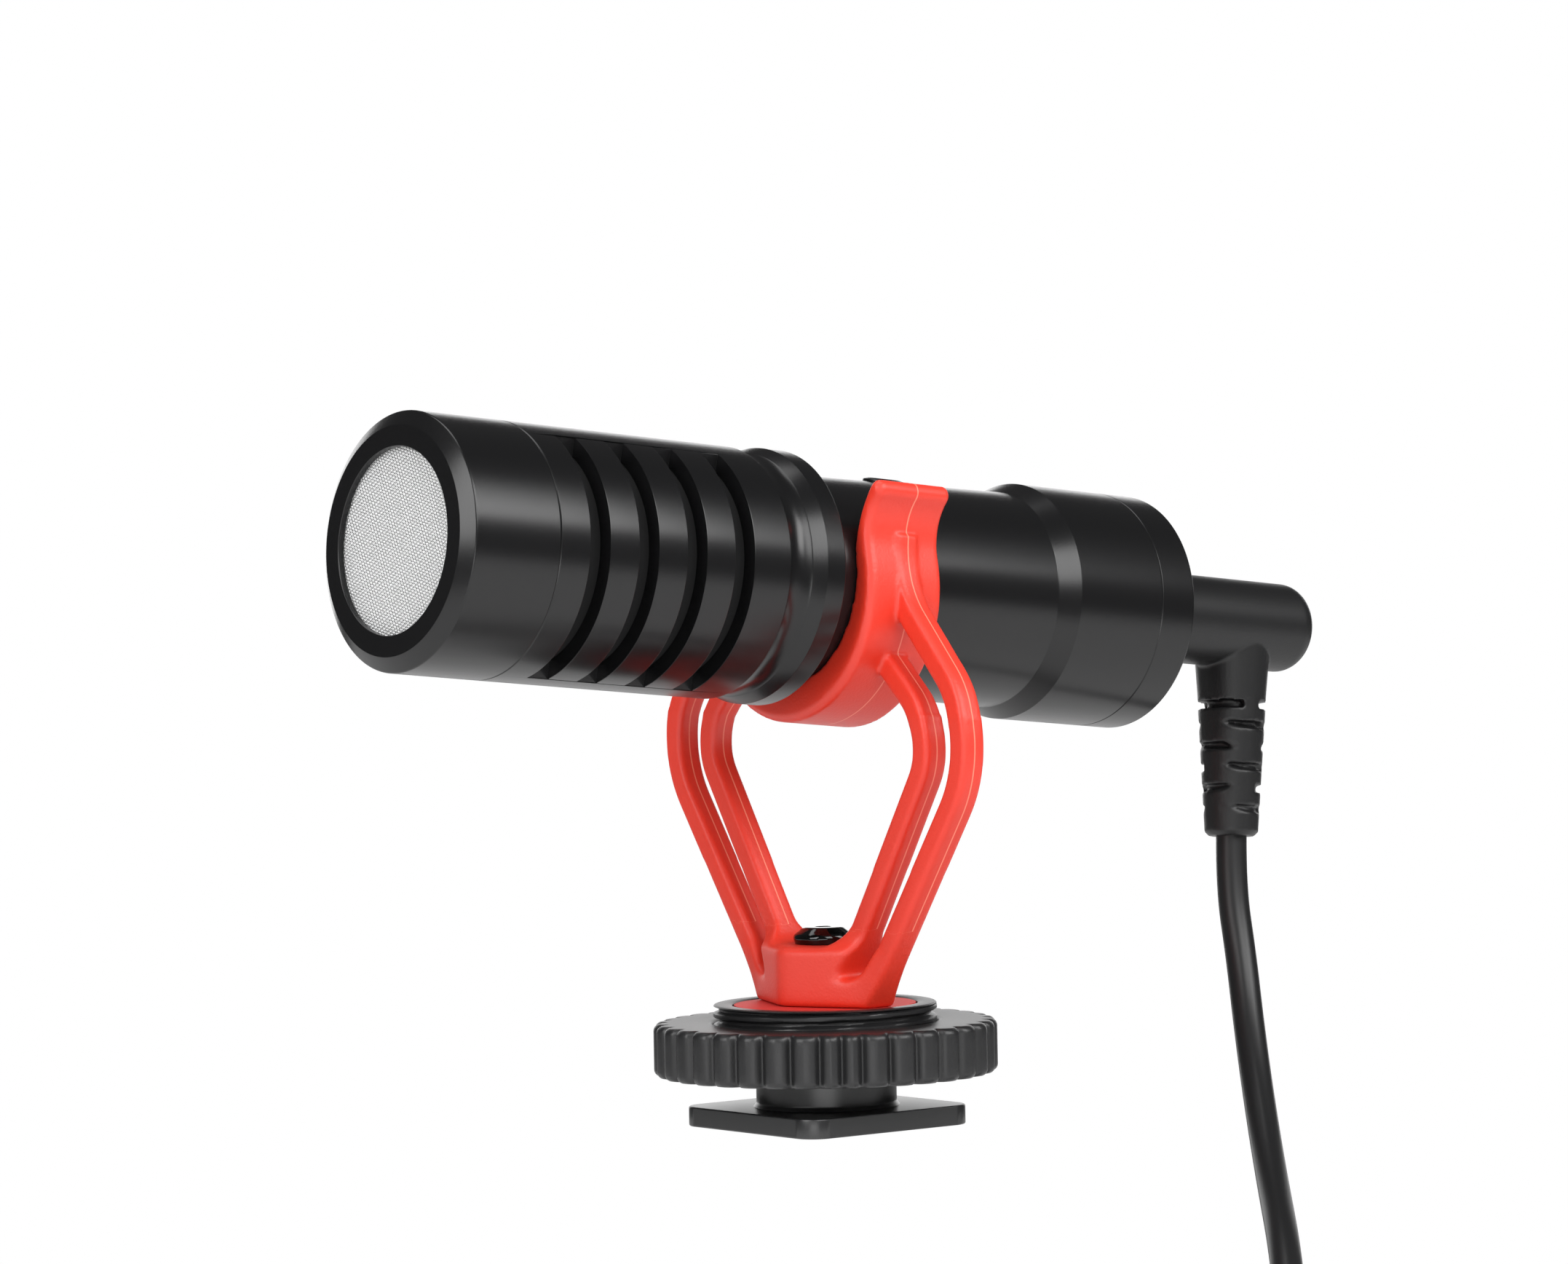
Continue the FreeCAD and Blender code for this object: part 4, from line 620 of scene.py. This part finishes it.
bmesh.ops.translate(build, vec=(0, 0, foot["thick"] * mm),
                    verts=[item for item in raised["geom"] if isinstance(item, bmesh.types.BMVert)])
rims = [edge for edge in build.edges if abs(edge.verts[0].co.z - edge.verts[1].co.z) < foot["edge"] / 2 * mm]
bmesh.ops.bevel(build, geom=rims, offset=foot["edge"] * mm, offset_type="OFFSET", segments=3,
                profile=0.5, affect="EDGES", material=-1)
plateMesh = meshFrom(build, "footPlate")
crisp(addPiece("footPlate", smoothed(plateMesh, 35), "smoothPlastic", "shoe", ["shoe_foot"]))
neckMesh = spunShape("footNeck", [
    (foot["thick"] - foot["sunk"], 0),
    (foot["thick"] - foot["sunk"], foot["neck"] + foot["flare"]),
    (foot["thick"] + foot["flare"], foot["neck"], foot["flareRound"]),
    (foot["neckTop"] + foot["sunk"], foot["neck"]),
    (foot["neckTop"] + foot["sunk"], 0),
], steps=128, place=None, axis="Z")
crisp(addPiece("footNeck", smoothed(neckMesh), "smoothPlastic", "shoe"))


def ringOf(build, out, height, count):
    # out is one distance from the axis, or one for each vertex
    verts = []
    for k in range(count):
        angle = 2 * math.pi * k / count
        away = out if isinstance(out, (int, float)) else out[k]
        verts.append(build.verts.new((away * math.cos(angle) * mm, away * math.sin(angle) * mm, height * mm)))
    return verts


def bridged(build, lower, upper):
    # faces between two rings of as many vertices
    for k in range(len(lower)):
        after = (k + 1) % len(lower)
        build.faces.new((lower[k], lower[after], upper[after], upper[k]))


def threadedBoss(name):
    # a right-hand thread round the boss, then its flat rim and the seat of the pad
    build = bmesh.new()
    rings = []
    for level in range(boss["levels"] + 1):
        height = foot["neckTop"] + (boss["threadEnd"] - foot["neckTop"]) * level / boss["levels"]
        fade = min(1, (boss["top"] - height) / boss["fade"])
        outs = []
        for k in range(boss["around"]):
            phase = (height / boss["threadPitch"] - k / boss["around"]) % 1
            groove = 0.5 + 0.5 * math.cos(2 * math.pi * phase)
            deep = boss["threadDeep"] * min(1, max(0, (groove - boss["crestShare"]) / boss["flankShare"]))
            outs.append(boss["radius"] - deep * fade)
        rings.append(ringOf(build, outs, height, boss["around"]))
    for base, step, drop in bossRim:
        rings.append(ringOf(build, boss[base] + step, boss["top"] - drop, boss["around"]))
    for lower, upper in zip(rings, rings[1:]):
        bridged(build, lower, upper)
    build.faces.new(rings[-1])
    build.faces.new(list(reversed(rings[0])))
    return meshFrom(build, name)


bossMesh = smoothed(threadedBoss("threadedBoss"), 40)
addPiece("threadedBoss", bossMesh, "mouldedPlastic", "shoe")
print("foot made")

# Lock wheel: thumb pads round the rim with narrow hollows between them
wheel = {"radius": 15.19, "low": 4.58, "high": 9.21, "bore": 9.95, "step": 10.0, "first": 243.5,
         "count": 17, "back": 229.0, "backCount": 18, "seams": (236.5, 51.0), "deep": 0.45, "half": 1.2,
         "swell": 0.3, "swellHalf": 3.0, "edge": 0.6, "edgeSteps": 5, "around": 1080, "face": 1.0,
         "boreLand": 1.2, "boreOut": 0.5, "boreSlope": (0.12, 0.04), "boreDeep": 0.2}
hollows = [wheel["first"] + wheel["step"] * k for k in range(wheel["count"])]
hollows += [wheel["back"] - wheel["step"] * k for k in range(wheel["backCount"])]
hollows += list(wheel["seams"])


def hollowDepth(angle):
    # narrow rounded hollows, and pads that bulge a little between them
    nearest = min(abs((angle - middle + 180) % 360 - 180) for middle in hollows)
    return (wheel["deep"] * math.exp(-(nearest / wheel["half"]) ** 2)
            + wheel["swell"] * math.exp(-(nearest / wheel["swellHalf"]) ** 2))


def lockWheel(name):
    # rings from the bore's foot out and up over the rim, each with its share of the hollows
    build = bmesh.new()
    low, high, bore, radius = wheel["low"], wheel["high"], wheel["bore"], wheel["radius"]
    edge, around = wheel["edge"], wheel["around"]
    turns = [math.pi / 2 * k / wheel["edgeSteps"] for k in range(wheel["edgeSteps"] + 1)]
    arc = [(edge * (1 - math.cos(turn)), edge * (1 - math.sin(turn))) for turn in turns]
    levels = [(low, bore, 0), (low, bore + wheel["boreLand"], 0), (low, radius - edge - wheel["face"], 0)]
    levels += [(low + rise, radius - fall, 1) for rise, fall in arc]
    levels += [(low + edge + (high - low - 2 * edge) * share, radius, 1) for share in (0.25, 0.5, 0.75)]
    levels += [(high - drop, radius - fall, 1) for fall, drop in arc]
    slopeOut, slopeDrop = wheel["boreSlope"]
    levels += [(high, radius - edge - wheel["face"], 0), (high, bore + wheel["boreOut"], 0),
               (high - slopeDrop, bore + slopeOut, 0), (high - wheel["boreDeep"], bore, 0)]
    depths = [hollowDepth(360 * k / around) for k in range(around)]
    rings = [ringOf(build, [out - deep * share for deep in depths], height, around)
             for height, out, share in levels]
    for i, lower in enumerate(rings):
        bridged(build, lower, rings[(i + 1) % len(rings)])
    return meshFrom(build, name)


addPiece("wheelShell", smoothed(lockWheel("wheelShell"), 50), "mouldedPlastic", "lock_wheel",
         ["lock_wheel"])
print("wheel made")

# Pan-head screw with a hexagon socket
screw = {"tip": 2.4, "shank": 1.5, "low": 16.0, "seat": 2.52, "seatRound": 0.1, "belly": 2.77,
         "bellyHeight": 16.7, "bellyRound": 0.5, "high": 17.5, "crown": 1.72, "crownRound": 0.6,
         "across": 1.5, "deep": 0.9}
screwMesh = spunShape("panScrew", [
    (screw["tip"], 0),
    (screw["tip"], screw["shank"]),
    (screw["low"], screw["shank"]),
    (screw["low"], screw["seat"], screw["seatRound"]),
    (screw["bellyHeight"], screw["belly"], screw["bellyRound"]),
    (screw["high"], screw["crown"], screw["crownRound"]),
    (screw["high"], 0),
], steps=96, place=None, axis="Z")
hexBuild = bmesh.new()
bmesh.ops.create_cone(hexBuild, cap_ends=True, segments=6, radius1=screw["across"] / math.sqrt(3) * mm,
                      radius2=screw["across"] / math.sqrt(3) * mm, depth=2 * screw["deep"] * mm,
                      matrix=Matrix.Translation((0, 0, screw["high"] * mm)))
screwMesh = cutAway(screwMesh, "panScrew", meshFrom(hexBuild, "hexSocket"))
addPiece("panScrew", smoothed(screwMesh, 35), "glossSteel", "shoe", ["mount_screw"])
print("screw made")

# Plugs: one moulding each, with its slotted relief
lead = {"radius": 1.45, "firstRun": 4.9, "branch": 52.6, "reliefEnd": 19.95, "coil": 16.0, "pitch": 3.65,
        "leadIn": 2.9, "tailMiddle": 3, "tail": 11.0, "ease": 0.125, "turns": 2, "perTurn": 16,
        "length": 0.2927}
relief = {"top": 7.5, "topNear": 0.001, "overlap": 0.1, "turn": 47.0}
plugs = {"voxel": 0.15, "rounds": 2, "farVoxel": 0.18, "farRounds": 3}


def readyPlug(part, nodeName):
    # the slotted relief is parted from the branch, turned about their axis and set a little into it again
    axis = (inPlug.to_3x3() @ Vector((0, 0, 1))).normalized()
    seam = inPlug @ Vector((lead["branch"] * mm, 0, -relief["top"] * mm))
    lower = part.copy()
    for piece, side in ((part, "clear_inner"), (lower, "clear_outer")):
        bmesh.ops.bisect_plane(piece, geom=piece.verts[:] + piece.edges[:] + piece.faces[:],
                               dist=near["plane"] * mm, plane_co=seam, plane_no=axis, **{side: True})
        bmesh.ops.holes_fill(piece, edges=[edge for edge in piece.edges if edge.is_boundary])
    for vert in lower.verts:
        if abs((vert.co - seam).dot(axis)) < relief["topNear"] * mm:
            vert.co += axis * relief["overlap"] * mm
    turn = Matrix.Rotation(math.radians(relief["turn"]), 3, axis)
    bmesh.ops.rotate(lower, cent=seam, matrix=turn, verts=lower.verts)
    part.from_mesh(meshFrom(lower, "relief"))


plugMesh = moulded("plugMoulding", ["plug_body"], plugs["voxel"], plugs["rounds"], readyPlug)
addPiece("plugMoulding", plugMesh, "softRubber", "lead", ["plug_body"])
farMesh = moulded("farPlugMoulding", ["far_plug_body"], plugs["farVoxel"], plugs["farRounds"])
farPlug = addPiece("farPlugMoulding", farMesh, "softRubber", "lead", ["far_plug_body"])
print("plugs made", len(plugMesh.polygons), len(farMesh.polygons))

# Cable and coil: one cord from the relief to the far plug
exitPlace = inPlug @ Vector((lead["branch"] * mm, 0, -lead["reliefEnd"] * mm))
exitAlong = (inPlug.to_3x3() @ Vector((0, 0, -1))).normalized()
route = [exitPlace, exitPlace + exitAlong * lead["firstRun"] * mm,
         Vector((0.04701, -0.00354, 0.01220)), Vector((0.04529, -0.00624, 0.00616)),
         Vector((0.04223, -0.01062, -0.00005)), Vector((0.03697, -0.01767, -0.00631)),
         Vector((0.02826, -0.02867, -0.01208)), Vector((0.02243, -0.03553, -0.02001))]
inRun = (route[-1] - route[-2]).normalized()
forward = Vector((inRun.x, inRun.y, 0)).normalized()
upward = Vector((0, 0, 1))
sideways = forward.cross(upward)
startAngle = math.atan2(forward.dot(inRun), -inRun.z)
endShare = lead["turns"] + startAngle / (2 * math.pi)
coilEntry = route[-1] + inRun * lead["leadIn"] * mm
coilOut = forward * math.cos(startAngle) + upward * math.sin(startAngle)
coilCentre = coilEntry - coilOut * lead["coil"] * mm
# a quadratic curve runs inside its control points by this share
widen = 4 / (3 + math.cos(2 * math.pi / lead["perTurn"]))


def coilDrift(share):
    ease = lead["ease"]
    if share < ease:
        return share ** 2 / (2 * ease)
    if share > endShare - ease:
        return endShare - ease - (endShare - share) ** 2 / (2 * ease)
    return share - ease / 2


def coilPlace(share, stretch):
    angle = startAngle - 2 * math.pi * share
    out = forward * math.cos(angle) + upward * math.sin(angle)
    return coilCentre + out * lead["coil"] * stretch * mm + sideways * lead["pitch"] * coilDrift(share) * mm


count = round(endShare * lead["perTurn"])
for k in range(count):
    route.append(coilPlace(endShare * (k + 0.5) / count, widen))
tailStart = coilPlace(endShare, 1)
tailAlong = (tailStart - coilPlace(endShare - 0.001, 1)).normalized()
route.append(tailStart + tailAlong * lead["tailMiddle"] * mm)
route.append(tailStart + tailAlong * lead["tail"] * mm)

cordCurve = bpy.data.curves.new("leadCord", "CURVE")
cordCurve.dimensions = "3D"
cordCurve.resolution_u = 8
cordCurve.bevel_depth = lead["radius"] * mm
cordCurve.bevel_resolution = 7
cordCurve.use_fill_caps = True
spline = cordCurve.splines.new("NURBS")
spline.points.add(len(route) - 1)
for i, place in enumerate(route):
    spline.points[i].co = (*place, 1)
spline.order_u = 3
spline.use_endpoint_u = True
cord = linked("leadCord", cordCurve)
cordCurve.materials.append(materials["cableJacket"])
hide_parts("cable", "cable_coil")
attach(cord, "lead")
print("cord laid")

# Finishes of the solids that stay as they are
kept = {
    "mattElastomer": ["shoe_pad"],
    "openFoam": ["mesh_foam"],
    "blackCloth": ["slot_liner"],
    "softRubber": ["capsule_holder", "capsule_leads"],
    "bareAluminium": ["microphone_capsule"],
    "boardGreen": ["circuit_board"],
    "mouldedPlastic": ["jack_socket", "plug_insulators", "far_plug_insulators", "cord_tie"],
    "nickelPlate": ["plug_sleeve", "plug_ring", "plug_tip",
                    "far_plug_sleeve", "far_plug_ring", "far_plug_tip"],
}
for material, names in kept.items():
    for name in names:
        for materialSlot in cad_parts[name].material_slots:
            materialSlot.material = materials[material]
print("finishes set")

# Floor, backdrop and light, in metres
stagePlan = {"floor": -0.0705, "floorHalf": 0.55, "floorBounce": 0.65, "backdropAway": 1.3,
             "backdropHalf": 0.75, "backdropHigh": 0.5, "backdropGlow": 2.1, "viewX": 0.6233,
             "viewY": 0.7817, "aim": 0.035}


def stageMaterial(name, glow, bounce):
    # white to the camera, whatever light falls on it
    material = bpy.data.materials.new(name)
    material.use_nodes = True
    tree = material.node_tree
    tree.nodes.clear()
    output = tree.nodes.new("ShaderNodeOutputMaterial")
    mix = tree.nodes.new("ShaderNodeMixShader")
    path = tree.nodes.new("ShaderNodeLightPath")
    lit = tree.nodes.new("ShaderNodeEmission")
    lit.inputs["Strength"].default_value = 1.0
    plain = tree.nodes.new("ShaderNodeBsdfDiffuse" if not glow else "ShaderNodeEmission")
    plain.inputs["Color"].default_value = (bounce, bounce, bounce, 1)
    if glow:
        plain.inputs["Strength"].default_value = glow
    tree.links.new(path.outputs["Is Camera Ray"], mix.inputs["Fac"])
    tree.links.new(plain.outputs[0], mix.inputs[1])
    tree.links.new(lit.outputs[0], mix.inputs[2])
    tree.links.new(mix.outputs[0], output.inputs["Surface"])
    return material


def stageSheet(name, corners, material):
    mesh = bpy.data.meshes.new(name)
    mesh.from_pydata(corners, [], [(0, 1, 2, 3)])
    sheet = linked(name, mesh)
    mesh.materials.append(material)
    return sheet


floorHeight, floorHalf = stagePlan["floor"], stagePlan["floorHalf"]
stageSheet("floor", [(-floorHalf, -floorHalf, floorHeight), (floorHalf, -floorHalf, floorHeight),
                     (floorHalf, floorHalf, floorHeight), (-floorHalf, floorHalf, floorHeight)],
           stageMaterial("palePaper", 0, stagePlan["floorBounce"]))
middle = Vector((stagePlan["viewX"], stagePlan["viewY"], 0)) * stagePlan["backdropAway"]
across = Vector((stagePlan["viewY"], -stagePlan["viewX"], 0)) * stagePlan["backdropHalf"]
backdropFoot, backdropHead = Vector((0, 0, floorHeight)), Vector((0, 0, stagePlan["backdropHigh"]))
stageSheet("backdrop", [middle - across + backdropFoot, middle + across + backdropFoot,
                        middle + across + backdropHead, middle - across + backdropHead],
           stageMaterial("whiteBackdrop", stagePlan["backdropGlow"], 1.0))


def softbox(name, settings):
    # azimuth and elevation say where it stands as seen from the object
    data = bpy.data.lights.new(name, "AREA")
    data.shape = "RECTANGLE"
    data.size, data.size_y = settings["wide"], settings["high"]
    data.energy = settings["glow"] * math.pi * settings["wide"] * settings["high"]
    light = linked(name, data)
    azimuth, elevation = math.radians(settings["azimuth"]), math.radians(settings["elevation"])
    level = math.cos(elevation)
    away = Vector((math.cos(azimuth) * level, math.sin(azimuth) * level, math.sin(elevation)))
    light.location = Vector((0, 0, stagePlan["aim"])) + away * settings["away"]
    light.rotation_euler = away.to_track_quat("Z", "Y").to_euler()
    light.visible_camera = False


softboxes = {
    "keyLight": {"azimuth": 300, "elevation": 33, "away": 0.7, "wide": 0.28, "high": 0.34, "glow": 6.8},
    "leftLight": {"azimuth": 190, "elevation": 28, "away": 0.7, "wide": 0.35, "high": 0.5, "glow": 5.0},
    "frontLight": {"azimuth": 261, "elevation": 36, "away": 0.75, "wide": 0.42, "high": 0.42, "glow": 5.2},
    "frontCard": {"azimuth": 228, "elevation": -4, "away": 0.8, "wide": 0.5, "high": 0.14, "glow": 3.6},
    "topLight": {"azimuth": 120, "elevation": 75, "away": 0.8, "wide": 0.45, "high": 0.45, "glow": 2.4},
}
for name, settings in softboxes.items():
    softbox(name, settings)


def roomWorld(seen, soft, mirrored):
    # white to the camera, an even glow for matt surfaces and a dim room for shiny ones
    world = bpy.data.worlds.new("room")
    bpy.context.scene.world = world
    world.use_nodes = True
    tree = world.node_tree
    tree.nodes.clear()
    output = tree.nodes.new("ShaderNodeOutputWorld")
    path = tree.nodes.new("ShaderNodeLightPath")
    shade = None
    for strength, ray in ((soft, None), (mirrored, "Is Glossy Ray"), (seen, "Is Camera Ray")):
        glow = tree.nodes.new("ShaderNodeBackground")
        glow.inputs["Color"].default_value = (1, 1, 1, 1)
        glow.inputs["Strength"].default_value = strength
        if ray:
            mix = tree.nodes.new("ShaderNodeMixShader")
            tree.links.new(path.outputs[ray], mix.inputs["Fac"])
            tree.links.new(shade, mix.inputs[1])
            tree.links.new(glow.outputs[0], mix.inputs[2])
            shade = mix.outputs[0]
        else:
            shade = glow.outputs[0]
    tree.links.new(shade, output.inputs["Surface"])


roomWorld(seen=1, soft=0.7, mirrored=0.08)
print("stage lit")
